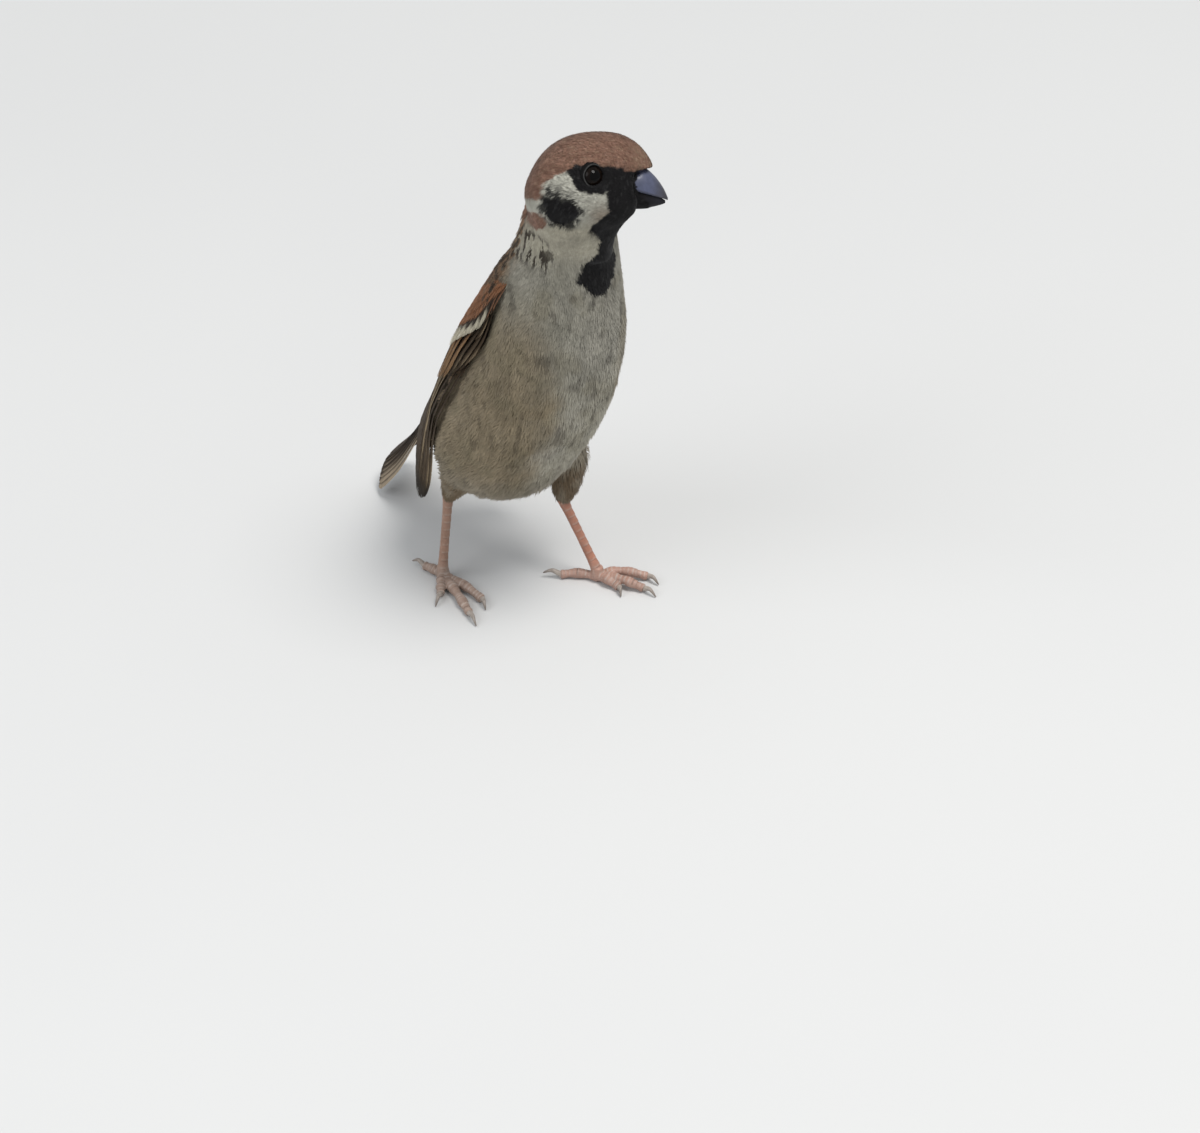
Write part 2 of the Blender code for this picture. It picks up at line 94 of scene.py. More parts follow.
EYE_RADIUS = 2.55
EYE_PLACE = (0.0, 0.35, 6.2)  # forward, up, outward
EYE_TURN = 20.0  # how far each eye looks ahead of straight out
BILL_SECTIONS = (  # forward, culmen, cutting edge, lower edge, half width
    (6.6, 3.0, -2.2, -5.7, 3.5),
    (8.8, 2.7, -2.4, -6.0, 3.45),
    (11.0, 1.9, -2.8, -5.85, 2.9),
    (13.0, 0.3, -3.3, -5.5, 2.1),
    (14.7, -1.8, -3.8, -5.1, 1.15),
    (15.7, -3.7, -4.2, -4.75, 0.4),
)
LOWER_BILL_SHORT, LOWER_BILL_WIDTH = 0.5, 0.86
WING_SECTIONS = (  # right wing: lower edge, upper edge, thickness, bulge, from shoulder to tip
    ((-10.6, 11.8, 84.8), (-7.4, 6.0, 85.4), 1.4, 0.4),
    ((-13.2, 10.4, 79.0), (-6.0, 1.6, 78.6), 1.9, 0.5),
    ((-15.2, 9.0, 69.4), (-4.9, -3.8, 68.4), 2.6, 2.1),
    ((-16.5, 4.2, 60.8), (-4.4, -8.9, 58.8), 2.5, 2.3),
    ((-17.0, -0.2, 52.0), (-4.8, -12.9, 49.8), 2.3, 2.1),
    ((-16.8, -5.4, 42.4), (-7.0, -16.4, 40.4), 2.0, 1.4),
    ((-15.9, -8.7, 33.5), (-11.0, -17.6, 32.2), 1.7, 0.6),
    ((-15.0, -10.9, 25.6), (-12.6, -17.8, 24.4), 1.4, 0.3),
    ((-14.5, -13.4, 17.6), (-13.6, -17.0, 16.8), 1.0, 0.2),
)
HIPS = {"right": (-10.4, -3.0, 31.0), "left": (9.2, 4.0, 31.0)}
HEELS = {"right": (-12.0, -8.3, 18.6), "left": (7.2, 5.4, 17.4)}
ANKLES = {"right": (-14.0, -7.6, 2.3), "left": (11.0, 11.6, 2.3)}
THIGH_RADII = {"right": (5.2, 4.0, 2.1, 1.35), "left": (4.4, 3.6, 2.9, 1.6)}
TOES = {  # knuckle, toe end, claw tip (left, forward), arch height, claw tip height
    "right": {
        "middle": ((-16.0, 0.4), (-17.6, 6.4), (-18.7, 10.2), 1.3, 0.2),
        "inner": ((-13.0, -1.4), (-12.6, 4.0), (-13.8, 6.8), 1.3, 0.2),
        "outer": ((-16.4, -4.9), (-18.2, -2.6), (-21.2, -0.3), 1.2, 0.2),
        "hind": ((-14.4, -10.3), (-14.9, -12.6), (-15.9, -15.4), 1.1, 0.9),
    },
    "left": {
        "middle": ((13.4, 16.6), (16.0, 20.8), (16.6, 24.0), 1.9, 0.2),
        "inner": ((11.4, 14.6), (12.2, 17.4), (11.0, 19.6), 1.5, 0.2),
        "outer": ((15.0, 14.2), (19.2, 17.8), (19.6, 21.0), 1.9, 0.3),
        "hind": ((8.2, 8.6), (5.4, 6.6), (2.6, 4.4), 1.1, 1.2),
    },
}
TOE_HEIGHT = 0.82
TOE_RADII = (1.12, 0.95, 0.9)

# ---------------------------------------------------------------- colours (linear)
CHESTNUT = (0.200, 0.112, 0.080)
CHESTNUT_DARK = (0.110, 0.058, 0.040)
BLACK = (0.0085, 0.0080, 0.0085)
WHITE = (0.40, 0.39, 0.335)
CHEEK_BUFF = (0.29, 0.25, 0.20)
COLLAR = (0.36, 0.335, 0.265)
BREAST = (0.245, 0.232, 0.190)
BREAST_PALE = (0.37, 0.35, 0.30)
FLANK = (0.235, 0.190, 0.125)
BELLY = (0.370, 0.348, 0.285)
VENT = (0.255, 0.222, 0.170)
OLIVE = (0.190, 0.165, 0.105)
MANTLE = (0.215, 0.135, 0.080)
MANTLE_PALE = (0.34, 0.26, 0.17)
STREAK = (0.030, 0.022, 0.016)
RUMP = (0.200, 0.155, 0.105)
THIGH = {"right": (0.160, 0.118, 0.072), "left": (0.150, 0.110, 0.070)}
RUFOUS = (0.235, 0.106, 0.052)
COVERT_BROWN = (0.115, 0.062, 0.034)
BAR_WHITE = (0.48, 0.435, 0.33)
BUFF_EDGE = (0.33, 0.25, 0.155)
RUFOUS_EDGE = (0.245, 0.140, 0.066)
REMEX = (0.054, 0.036, 0.021)
REMEX_TIP = (0.026, 0.021, 0.016)
TAIL_BROWN = (0.050, 0.036, 0.026)
TAIL_EDGE = (0.33, 0.265, 0.19)


def arr(*values):
    return np.array(values, float)


UP = arr(0.0, 0.0, 1.0)
AHEAD_FLIPPED = arr(1.0, -1.0, 1.0)  # a direction's (left, forward, up) as (x, y, z), and back


def unit(v):
    return v / np.maximum(np.linalg.norm(v, axis=-1, keepdims=True), 1e-9)


def split(points):
    """The three coordinates of points as three arrays."""
    return np.moveaxis(points, -1, 0)


def place(points):
    """Row-frame millimetres of points given as (left, forward, up) of the bird."""
    left, forward, up = split(np.asarray(points, float))
    return np.stack((left - ORIGIN[0], ORIGIN[1] - forward, up), -1)


def bird(points):
    """(left, forward, up) of the bird for row-frame millimetres."""
    x, y, z = split(points)
    return np.stack((x + ORIGIN[0], ORIGIN[1] - y, z), -1)


def head_axes():
    """The head's front, crown and left directions in (left, forward, up) of the bird."""
    turn, cock, nod = (math.radians(v) for v in (HEAD_TURN, HEAD_COCK, HEAD_NOD))
    ahead = arr(math.sin(turn), math.cos(turn), 0.0)
    side = arr(math.cos(turn), -math.sin(turn), 0.0)
    crown = math.cos(cock) * UP + math.sin(cock) * side
    flank = math.cos(cock) * side - math.sin(cock) * UP
    front = math.cos(nod) * ahead - math.sin(nod) * crown
    crown = math.cos(nod) * crown + math.sin(nod) * ahead
    return np.stack((front, crown, flank))


HEAD_AXES = head_axes()


def head_place(points):
    """Row-frame millimetres of points given as (forward, up, left) of the head."""
    return place(np.asarray(points, float) @ HEAD_AXES + np.array(HEAD_CENTRE))


def in_head(points):
    """(forward, up, left) of the head for row-frame millimetres."""
    return (bird(points) - np.array(HEAD_CENTRE)) @ HEAD_AXES.T


def head_vector(direction):
    """A direction of the head's frame in the row frame."""
    return np.asarray(direction, float) @ HEAD_AXES * AHEAD_FLIPPED


def rows_at(rows, at):
    """Rows at fractional indices, on a smooth curve through all of them."""
    rows = np.asarray(rows, float)
    at = np.asarray(at, float)
    start = np.clip(at.astype(int), 0, len(rows) - 2)
    t = (at - start)[..., None]
    before = rows[np.maximum(start - 1, 0)]
    first, second = rows[start], rows[start + 1]
    after = rows[np.minimum(start + 2, len(rows) - 1)]
    slope_first = (second - before) / 2
    slope_second = (after - first) / 2
    return (
        (2 * t**3 - 3 * t**2 + 1) * first
        + (t**3 - 2 * t**2 + t) * slope_first
        + (3 * t**2 - 2 * t**3) * second
        + (t**3 - t**2) * slope_second
    )


def ramp(value, low, high):
    """0 below low, 1 above high, smooth between."""
    t = np.clip((value - low) / (high - low), 0.0, 1.0)
    return t * t * (3 - 2 * t)


def fade(value, low, high):
    """1 below low, 0 above high, smooth between."""
    return 1 - ramp(value, low, high)


def around(sides):
    """Evenly spaced angles, once round."""
    return np.linspace(0.0, 2 * np.pi, sides, endpoint=False)


def mix(first, second, share):
    share = np.asarray(share)[..., None]
    return np.asarray(first) * (1 - share) + np.asarray(second) * share


NOISE_TABLE = np.random.default_rng(SEED).random(4096)
NOISE_PRIMES, NOISE_STEP = np.array((73856093, 19349663, 83492791)), 40503


def chance(key):
    """A fixed random number from 0 to 1 for each whole number."""
    return NOISE_TABLE[key & (len(NOISE_TABLE) - 1)]


def noise(points, pitch, seed=0):
    """Smooth value noise from -1 to 1 with cells of the given pitch."""
    p = np.asarray(points, float) / pitch + 1000.0
    cell = np.floor(p).astype(np.int64)
    f = p - cell
    f = f * f * (3 - 2 * f)
    total = 0.0
    for corner in itertools.product((0, 1), repeat=3):
        key = np.bitwise_xor.reduce((cell + corner) * NOISE_PRIMES, axis=-1) ^ (seed * NOISE_STEP)
        weight = np.prod(np.where(corner, f, 1 - f), axis=-1)
        total = total + weight * chance(key)
    return total * 2 - 1


def hairs(points, stretch, pitch, seed):
    """Noise drawn out upwards, as strands of feather are."""
    return noise(points * arr(1.0, 1.0, stretch), pitch, seed)


# ---------------------------------------------------------------- surfaces of the solids
def body_points(at, angle):
    """Points of the body's surface: at along its sections, angle from the back (0) round."""
    row = rows_at(BODY_SECTIONS, at)
    back = np.stack((np.zeros(row.shape[:-1]), row[..., 0], row[..., 1]), -1)
    belly = np.stack((row[..., 5], row[..., 2], row[..., 3]), -1)
    depth = np.linalg.norm(belly - back, axis=-1, keepdims=True)
    down = (belly - back) / depth
    centre = back + WIDEST * (belly - back)
    reach = np.where(np.cos(angle)[..., None] > 0, WIDEST * depth, (1 - WIDEST) * depth)
    point = centre - down * np.cos(angle)[..., None] * reach
    point[..., 0] += np.sin(angle) * row[..., 4]
    return place(point)


def head_points(at, angle):
    """Points of the head's surface, from nape to forehead, angle from the crown round."""
    forward, top, bottom, half = split(rows_at(HEAD_SECTIONS, at))
    middle = top + CHEEK_LEVEL * (bottom - top)
    limit = np.where(np.cos(angle) > 0, top, bottom)
    up = middle + np.abs(np.cos(angle)) * (limit - middle)
    return head_place(np.stack((forward, up, half * np.sin(angle)), -1))


WING_LAST = len(WING_SECTIONS) - 1.0
WING_ROWS = np.array([(*low, *high, thick, bulge) for low, high, thick, bulge in WING_SECTIONS])


def wing_frame(s, t):
    """Middle surface point, outward and along directions and half thickness of the right wing."""
    row = rows_at(WING_ROWS, s)
    low, high, thick, bulge = row[..., :3], row[..., 3:6], row[..., 6] / 2, row[..., 7]
    across = unit(high - low)
    near = rows_at(WING_ROWS, np.maximum(s - 0.3, 0.0))
    far = rows_at(WING_ROWS, np.minimum(s + 0.3, WING_LAST))
    along = unit(near[..., :3] - far[..., :3])
    out = unit(np.cross(along, across))
    out = out * np.where(out[..., :1] > 0, -1.0, 1.0)
    arch = np.sin(np.pi * np.clip(t, 0.0, 1.0))
    middle = low + (high - low) * t[..., None] + out * (bulge * arch)[..., None]
    lens = (thick - 0.25) * arch**0.6 + 0.25
    return middle, out, lens


def wing_place(s, t, height, side):
    """Points at a height over the outer face of a folded wing, on either side."""
    middle, out, lens = wing_frame(np.asarray(s, float), np.asarray(t, float))
    point = middle + out * (lens + height)[..., None]
    point[..., 0] *= -side
    return place(point)


def tail_frame():
    rows = np.array(TAIL_SECTIONS, float)
    axis = unit(rows[-1][:3] - rows[0][:3])
    return rows, axis


def tail_place(a, across, height):
    """Points of the tail's upper face: a from root to tip, across from -1 to 1."""
    rows, axis = tail_frame()
    row = rows_at(rows, np.clip(a, 0.0, 3.0))
    beyond = np.maximum(a - 3.0, 0.0)[..., None]
    up = unit(arr(0.0, axis[2], -axis[1]))
    roll = np.radians(row[..., 6])[..., None]
    side = arr(1.0, 0.0, 0.0)
    left = np.cos(roll) * side + np.sin(roll) * up
    top = np.cos(roll) * up - np.sin(roll) * side
    sag = TAIL_ROOF * across**2
    point = row[..., :3] + left * (row[..., 3] * across)[..., None]
    point = point + top * (height - sag)[..., None] + axis * beyond * 7.0
    return place(point)


# ---------------------------------------------------------------- markings, shared by skin and coat
CAP_BORDER = (  # forward, up: under the chestnut cap
    (-12.0, -4.0), (-9.6, -1.4), (-7.4, 0.3), (-5.6, 1.2), (-3.1, 2.6), (2.9, 2.5), (5.3, 2.1),
    (8.1, 1.7), (12.0, 1.2),
)
MASK_BORDER = (  # forward, up: under the black round the eye, over the white cheek
    (-12.0, 6.0), (-5.0, 1.4), (-3.8, -0.9), (-2.8, -2.2), (-1.0, -3.0), (1.0, -3.3), (3.0, -2.9),
    (3.2, -2.5), (12.0, -2.5),
)
CHEEK_FRONT = (  # up, forward: where the white cheek ends and the black of bib and lores begins
    (-15.0, -1.6), (-12.5, -0.4), (-9.9, 0.7), (-8.0, 2.3), (-6.7, 3.5), (-4.9, 3.2), (-2.9, 3.0),
    (3.0, 3.0),
)
EAR_CENTRE = (-5.9, -6.9)  # forward, up
EAR_RIM = (  # degrees from ahead towards the crown, radius
    (-141, 3.5), (-92, 3.6), (-50, 4.2), (-16, 4.2), (19, 3.6), (63, 2.8), (110, 3.7), (123, 5.2),
    (153, 4.5), (179, 4.0),
)
NAPE_PATCH = (-11.0, -9.5, 2.6, 1.9)  # forward, up, radii of the chestnut below the collar
SIDE_LINE = ((20.0, -14.0), (40.0, -7.0), (60.0, 3.0), (80.0, 9.0), (100.0, 15.0))  # up, forward
BIB_EDGES = (  # up, right edge, left edge
    (80.8, 0.4, 1.6), (81.8, -1.2, 3.6), (82.8, -2.6, 5.4), (84.4, -3.4, 6.4), (86.5, -3.9, 6.8),
    (89.0, -3.6, 5.6), (90.4, -2.4, 5.6), (92.4, -0.6, 6.8), (95.3, -1.2, 8.0), (100.0, -2.2, 10.0),
)


def through(pairs, value):
    xs, ys = zip(*pairs)
    return np.interp(value, xs, ys)


def head_colours(points):
    """Colours of the head at row-frame points near its surface."""
    rough = in_head(points)
    rough = rough + 0.45 * np.stack([noise(points, 1.1, k) for k in (1, 2, 3)], -1)
    forward, up, out = rough[..., 0], rough[..., 1], np.abs(rough[..., 2])
    combed = in_head(points) * arr(0.45, 1.0, 0.9)
    grain = noise(combed, 0.24, 4) + 0.5 * noise(combed, 0.7, 6) + 0.35 * noise(points, 2.6, 5)
    chestnut = mix(CHESTNUT, CHESTNUT_DARK, 0.75 * ramp(grain, -0.5, 0.9))
    chestnut = mix(chestnut, MANTLE_PALE, 0.16 * ramp(noise(combed, 0.3, 7), 0.2, 0.6))
    chestnut = mix(chestnut, MANTLE_PALE, 0.35 * ramp(forward, 7.5, 10.5) * ramp(grain, -0.5, 0.3))
    colour = mix(WHITE, CHEEK_BUFF, ramp(forward, -2.0, 2.5) * ramp(-up, 4.0, 7.5))
    colour = mix(colour, COLLAR, ramp(-up, 8.5, 11.5))
    ear_f, ear_u = forward - EAR_CENTRE[0], up - EAR_CENTRE[1]
    bearing = np.degrees(np.arctan2(ear_u, ear_f))
    angles, radii = zip(*EAR_RIM)
    ear = np.hypot(ear_f, ear_u) / np.interp(bearing, angles, radii, period=360)
    strands = noise(np.stack((forward * 0.35, up + 0.45 * forward, out * 0.3), -1), 0.34, 6)
    core = fade(ear, 0.80, 0.95) * fade(up, -5.2, -3.8)
    fringe = ramp(strands, -0.25, 0.15) * fade(ear, 0.95, 1.20)
    trail = ramp(strands, -0.05, 0.3) * fade(ear, 1.0, 1.6) * ramp(up, -6.0, -4.5)
    trail = trail * fade(forward, -4.0, -1.5)
    colour = mix(colour, BLACK, np.maximum.reduce((core, 0.92 * fringe, 0.75 * trail)))
    lines = ramp(noise(combed, 0.24, 9), 0.0, 0.5) * ramp(up, -7.0, -4.5)
    colour = mix(colour, BLACK, 0.4 * (lines * ramp(-forward, -1.0, 2.0)))
    colour = mix(colour, BLACK, ramp(forward - through(CHEEK_FRONT, up), -0.35, 0.35))
    colour = mix(colour, BLACK, ramp(up - through(MASK_BORDER, forward), -0.3, 0.3))
    bridge = ramp(forward, 9.0, 10.5) * fade(up, 0.2, 1.2)
    cap = ramp(up - through(CAP_BORDER, forward), -0.3, 0.3) * (1 - bridge)
    behind = ramp(-forward, 9.5, 10.5) * ramp(up, -5.6, -4.8)
    spot_f, spot_u, long, high = NAPE_PATCH
    nape = fade(np.hypot((forward - spot_f) / long, (up - spot_u) / high), 0.85, 1.1)
    break_in_collar = ramp(-forward, 7.0, 8.0) * fade(np.abs(rough[..., 2] - 3.4), 0.7, 1.3)
    break_in_collar = break_in_collar * ramp(up, -10.5, -9.5)
    cap = np.maximum.reduce((cap, behind, nape * fade(out, 3.5, 5.0), break_in_collar))
    return mix(colour, chestnut, np.clip(cap, 0.0, 1.0))


def body_colours(points):
    """Colours of neck, trunk and thighs at row-frame points near the surface."""
    wobble = np.stack([noise(points, 2.2, k) for k in (11, 12, 13)], -1)
    left, forward, up = split(bird(points) + 0.7 * wobble)
    soft = noise(points, 5.0, 14)
    front = ramp(forward - through(SIDE_LINE, up), -4.0, 4.0)
    middle = fade(np.abs(left - 1.0), 4.0, 12.0)
    breast = mix(BREAST, BREAST_PALE, 0.35 * middle + 0.25 * soft + 0.1)
    belly = mix(FLANK, BELLY, ramp(middle + 0.5 * soft, -0.1, 0.9))
    under = mix(belly, breast, ramp(up, 52.0, 66.0))
    flank = ramp(np.abs(left - 0.5) + 2.5 * soft, 6.0, 15.5) * fade(up, 66.0, 86.0)
    under = mix(under, FLANK, flank * 0.9)
    parting = np.abs(left + 7.0 - 0.35 * (up - 40.0))
    parting = fade(parting, 1.0, 4.5) * ramp(up, 34.0, 40.0) * fade(up, 50.0, 60.0)
    under = mix(under, BREAST_PALE, 0.55 * parting)
    under = mix(under, VENT, fade(up, 24.0, 34.0))
    collar = ramp(up, 88.0, 93.5) * ramp(forward, 12.0, 18.0)
    under = mix(under, COLLAR, collar * 0.9)
    clumps = hairs(points, 0.5, 2.6, 19) + 0.7 * hairs(points, 0.3, 0.9, 23)
    under = under * (1.0 + 0.17 * clumps)[..., None]
    dusk = 0.30 * ramp(noise(points, 3.4, 24), -0.1, 0.5)
    under = mix(under, OLIVE, dusk * fade(up, 84.0, 90.0))
    ticks = ramp(hairs(points, 0.35, 1.3, 25), 0.38, 0.62) * fade(up, 80.0, 88.0)
    under = mix(under, STREAK, 0.38 * ticks)
    streak = ramp(hairs(points, 0.45, 1.5, 15), 0.0, 0.35)
    mantle = mix(MANTLE, MANTLE_PALE, 0.5 * ramp(soft, -0.2, 0.8))
    mantle = mix(mantle, STREAK, 0.85 * streak)
    rump = mix(RUMP, MANTLE_PALE, 0.2 * ramp(soft, 0.0, 1.0))
    upper = mix(rump, mantle, ramp(up, 52.0, 60.0))
    nape = mix(CHESTNUT, MANTLE, ramp(-up, -101.0, -95.0))
    upper = mix(upper, nape, ramp(up, 93.0, 98.0))
    colour = mix(upper, under, front)
    side = ramp(forward, 7.0, 10.0) * fade(forward, 20.5, 24.0) * ramp(np.abs(left), 5.0, 7.5)
    side = side * ramp(up, 86.5, 89.5) * fade(up, 94.5, 97.5)
    strokes = hairs(points, 0.25, 0.62, 16) + 0.35 * noise(points, 2.6, 22)
    colour = mix(colour, COLLAR, side * fade(strokes, -0.45, -0.15) * 0.8)
    colour = mix(colour, STREAK, side * ramp(strokes, -0.06, 0.14) * 0.94)
    heights, rights, lefts = zip(*BIB_EDGES)
    reach = np.minimum(left - np.interp(up, heights, rights), np.interp(up, heights, lefts) - left)
    fleck = fade(up, 83.0, 85.0) * ramp(up, 76.0, 82.0) * fade(np.abs(left - 1.0), 2.5, 5.5)
    fleck = fleck * ramp(hairs(points, 0.5, 1.1, 17), 0.1, 0.35)
    bib = ramp(reach + 0.6 * noise(points, 0.9, 18), -0.3, 0.4) * ramp(forward, 17.0, 19.0)
    colour = mix(colour, BLACK, np.maximum(bib * ramp(up, 80.6, 81.2), 0.75 * fleck))
    for side_name, tone in THIGH.items():
        hip, heel = np.array(HIPS[side_name]), np.array(HEELS[side_name])
        spot = np.stack((left, forward, up), -1)
        share = ramp(((spot - hip) @ (heel - hip)) / ((heel - hip) @ (heel - hip)), 0.25, 0.6)
        near = np.linalg.norm(spot - hip - (heel - hip) * np.clip(share, 0, 1)[..., None], axis=-1)
        tuft = ramp(hairs(points, 0.5, 1.6, 20), 0.15, 0.5) * 0.5
        colour = mix(colour, mix(tone, VENT, tuft), share * fade(near, 7.0, 11.0))
    return colour


def head_reach(points):
    """Distance from the head's middle as a share of an ellipsoid of its size."""
    forward, up, out = split(in_head(points))
    return np.sqrt(((forward - 0.2) / 12.6) ** 2 + ((up + 0.9) / 10.2) ** 2 + (out / 9.6) ** 2)


def plumage(points):
    """Colour of the bird's markings at row-frame points on or near its surface."""
    forward = in_head(points)[..., 0]
    edge = 1.10 + 0.20 * ramp(-forward, 1.0, 7.5)
    share = fade(head_reach(points) + 0.04 * noise(points, 1.5, 21), edge, edge + 0.1)
    glint = 0.012 * ramp(hairs(points, 0.7, 0.45, 63), 0.15, 0.7)
    return mix(body_colours(points), head_colours(points), share) + glint[..., None]


# ---------------------------------------------------------------- meshes
def in_scene(name, data):
    """A new object of the scene that holds this data."""
    made = bpy.data.objects.new(name, data)
    bpy.context.scene.collection.objects.link(made)
    return made


def object_from(name, points, faces, smooth=True):
    """A mesh object from row-frame millimetres."""
    mesh = bpy.data.meshes.new(name)
    mesh.from_pydata((np.asarray(points) * MM).tolist(), [], [list(face) for face in faces])
    mesh.update()
    if smooth:
        mesh.shade_smooth()
    return in_scene(name, mesh)


def fast_object(name, points, triangles):
    """A triangle mesh object from large arrays in row-frame millimetres."""
    mesh = bpy.data.meshes.new(name)
    mesh.vertices.add(len(points))
    mesh.vertices.foreach_set("co", (points * MM).astype(np.float32).ravel())
    mesh.loops.add(len(triangles) * 3)
    mesh.loops.foreach_set("vertex_index", triangles.astype(np.int32).ravel())
    mesh.polygons.add(len(triangles))
    mesh.polygons.foreach_set("loop_start", np.arange(0, len(triangles) * 3, 3, dtype=np.int32))
    mesh.update(calc_edges=True)
    mesh.shade_smooth()
    return in_scene(name, mesh)


def read(rows, field, kind=np.float32, width=3):
    """One field of all rows of a mesh as an array."""
    values = np.empty(len(rows) * width, kind)
    rows.foreach_get(field, values)
    return values.reshape(-1, width)


def vertices_of(obj):
    return read(obj.data.vertices, "co").astype(float) / MM


def normals_of(obj):
    return read(obj.data.vertex_normals, "vector").astype(float)


def move_vertices(obj, points):
    """Puts an object's vertices at these row-frame millimetres."""
    obj.data.vertices.foreach_set("co", (points * MM).astype(np.float32).ravel())
    obj.data.update()


def tree_of(spots):
    """A tree that finds the nearest of these points."""
    tree = KDTree(len(spots))
    for index, spot in enumerate(spots):
        tree.insert(spot, index)
    tree.balance()
    return tree


def far_from(tree, points):
    """Each point's distance from the nearest one in a tree."""
    return np.array([tree.find(point)[2] for point in points])


def set_colours(obj, colours):
    """Stores one linear colour for each vertex as the Plumage attribute."""
    layer = obj.data.color_attributes.new("Plumage", "FLOAT_COLOR", "POINT")
    rgba = np.ones((len(colours), 4), np.float32)
    rgba[:, :3] = np.clip(colours, 0.0, 1.0)
    layer.data.foreach_set("color", rgba.ravel())


def set_bake_map(obj, uv):
    """Stores one place on the skin's unwrap for each vertex as the OFBake map."""
    layer = obj.data.uv_layers.new(name="OFBake")
    corners = read(obj.data.loops, "vertex_index", np.int32, 1).ravel()
    layer.data.foreach_set("uv", uv[corners].astype(np.float32).ravel())


def finish_piece(obj, material, slot, *nodes):
    obj.data.materials.clear()
    obj.data.materials.append(material)
    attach(obj, "root")
    if nodes:
        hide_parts(*nodes)
    return obj


def tube_mesh(points, radii, sides=16, flat=1.0):
    """Closed tapering tube through points, as (points, faces) in millimetres."""
    points, radii = np.asarray(points, float), np.asarray(radii, float)
    ahead = unit(np.gradient(points, axis=0))
    side = np.cross(ahead, UP)
    side[np.linalg.norm(side, axis=1) < 1e-3] = (1.0, 0.0, 0.0)
    side = unit(side)
    over = np.cross(side, ahead)
    angle = around(sides)
    ring = side[:, None] * np.cos(angle)[:, None] + over[:, None] * np.sin(angle)[:, None] * flat
    rings = points[:, None] + ring * radii[:, None, None]
    return loft_mesh(rings)


def ring_quads(count, sides):
    """Quads between neighbouring rings of points."""
    return [
        (k * sides + i, k * sides + j, (k + 1) * sides + j, (k + 1) * sides + i)
        for k in range(count - 1) for i, j in ((i, (i + 1) % sides) for i in range(sides))
    ]


def loft_mesh(rings):
    """Closed solid through rings of points, with a point in the middle of each end."""
    rings = np.asarray(rings)
    count, sides = rings.shape[:2]
    points = [*rings.reshape(-1, 3), rings[0].mean(0), rings[-1].mean(0)]
    faces = ring_quads(count, sides)
    first, last = count * sides, count * sides + 1
    for i in range(sides):
        j = (i + 1) % sides
        faces.append((first, j, i))
        faces.append((last, (count - 1) * sides + i, (count - 1) * sides + j))
    return np.array(points), faces


def joined(shapes):
    """Several (points, faces) as one."""
    points, faces, base = [], [], 0
    for some_points, some_faces in shapes:
        points.append(some_points)
        faces += [tuple(base + i for i in face) for face in some_faces]
        base += len(some_points)
    return np.concatenate(points), faces


def fix_normals(obj):
    shape = bmesh.new()
    shape.from_mesh(obj.data)
    bmesh.ops.recalc_face_normals(shape, faces=shape.faces)
    shape.to_mesh(obj.data)
    shape.free()


def relaxed(obj, rounds, group=""):
    """The mesh that an object's modifiers and some rounds of smoothing make."""
    relax = obj.modifiers.new("relax", "SMOOTH")
    relax.vertex_group = group
    relax.factor = 0.5
    relax.iterations = rounds
    bpy.context.view_layer.update()
    graph = bpy.context.evaluated_depsgraph_get()
    mesh = bpy.data.meshes.new_from_object(obj.evaluated_get(graph))
    mesh.shade_smooth()
    return mesh


def remeshed(name, shapes, voxel, smoothing):
    """One closed surface round several overlapping solids."""
    rough = object_from(name + "_rough", *joined(shapes))
    fix_normals(rough)
    grid = rough.modifiers.new("grid", "REMESH")
    grid.mode = "VOXEL"
    grid.voxel_size = voxel * MM
    mesh = relaxed(rough, smoothing)
    bpy.data.objects.remove(rough, do_unlink=True)
    mesh.name = name
    return in_scene(name, mesh)


# ---------------------------------------------------------------- skin
BODY_DEPTH, NECK_DEPTH, HEAD_DEPTH = 1.25, 0.9, 0.45  # how far the skin lies inside the coat
SKIN_VOXEL = 0.5
SKIN_SHADE = 0.55  # how much darker than the feathers over it the skin is painted: painted shade deep under the coat
RING_SIDES = 48
NECK_CORE = (  # forward, up, left, radius in the head's frame: fills the crook of the nape
    (-2.6, -2.4, 0.0, 8.0), (-3.2, -5.4, 0.3, 8.0), (-3.2, -9.6, 8.7, 8.6),
    (-3.4, -13.3, 11.5, 8.6),
)
THROAT_CORE = (  # the same, down the throat
    (4.8, -4.4, 0.0, 4.4), (1.9, -9.0, 2.6, 4.3), (1.0, -13.0, 5.5, 4.1), (0.8, -16.0, 6.5, 3.6),
)
FACE_FRONT = (  # up, how far forward the feathers of the face reach beside the bill
    (-10.0, 20.0), (-8.2, 10.0), (-6.6, 9.7), (-5.0, 9.8), (-4.0, 9.4), (-3.0, 8.5), (-1.0, 8.1),
    (1.0, 8.3), (2.0, 9.0), (2.6, 20.0),
)
FACE_HALF, LORE_HALF = 7.4, 4.4  # half width of the face, and of it at the bill
BED_DEPTH = 1.3  # how far under a wing's outer face the skin lies
BED_FROM, BED_REACH, BED_SLOPE = 3.0, 4.5, 0.8  # from the middle, from the wing, at its edge
WING_MARGIN, WING_TOUCH = 1.42, 1.4  # from the wing's face, where tufts neither root nor lie


def inner_ring(surface_points, at, depth):
    """A ring round a solid's surface, drawn in by the depth of the coat."""
    ring = surface_points(np.full(RING_SIDES, at), around(RING_SIDES))
    return ring - unit(ring - ring.mean(0)) * depth


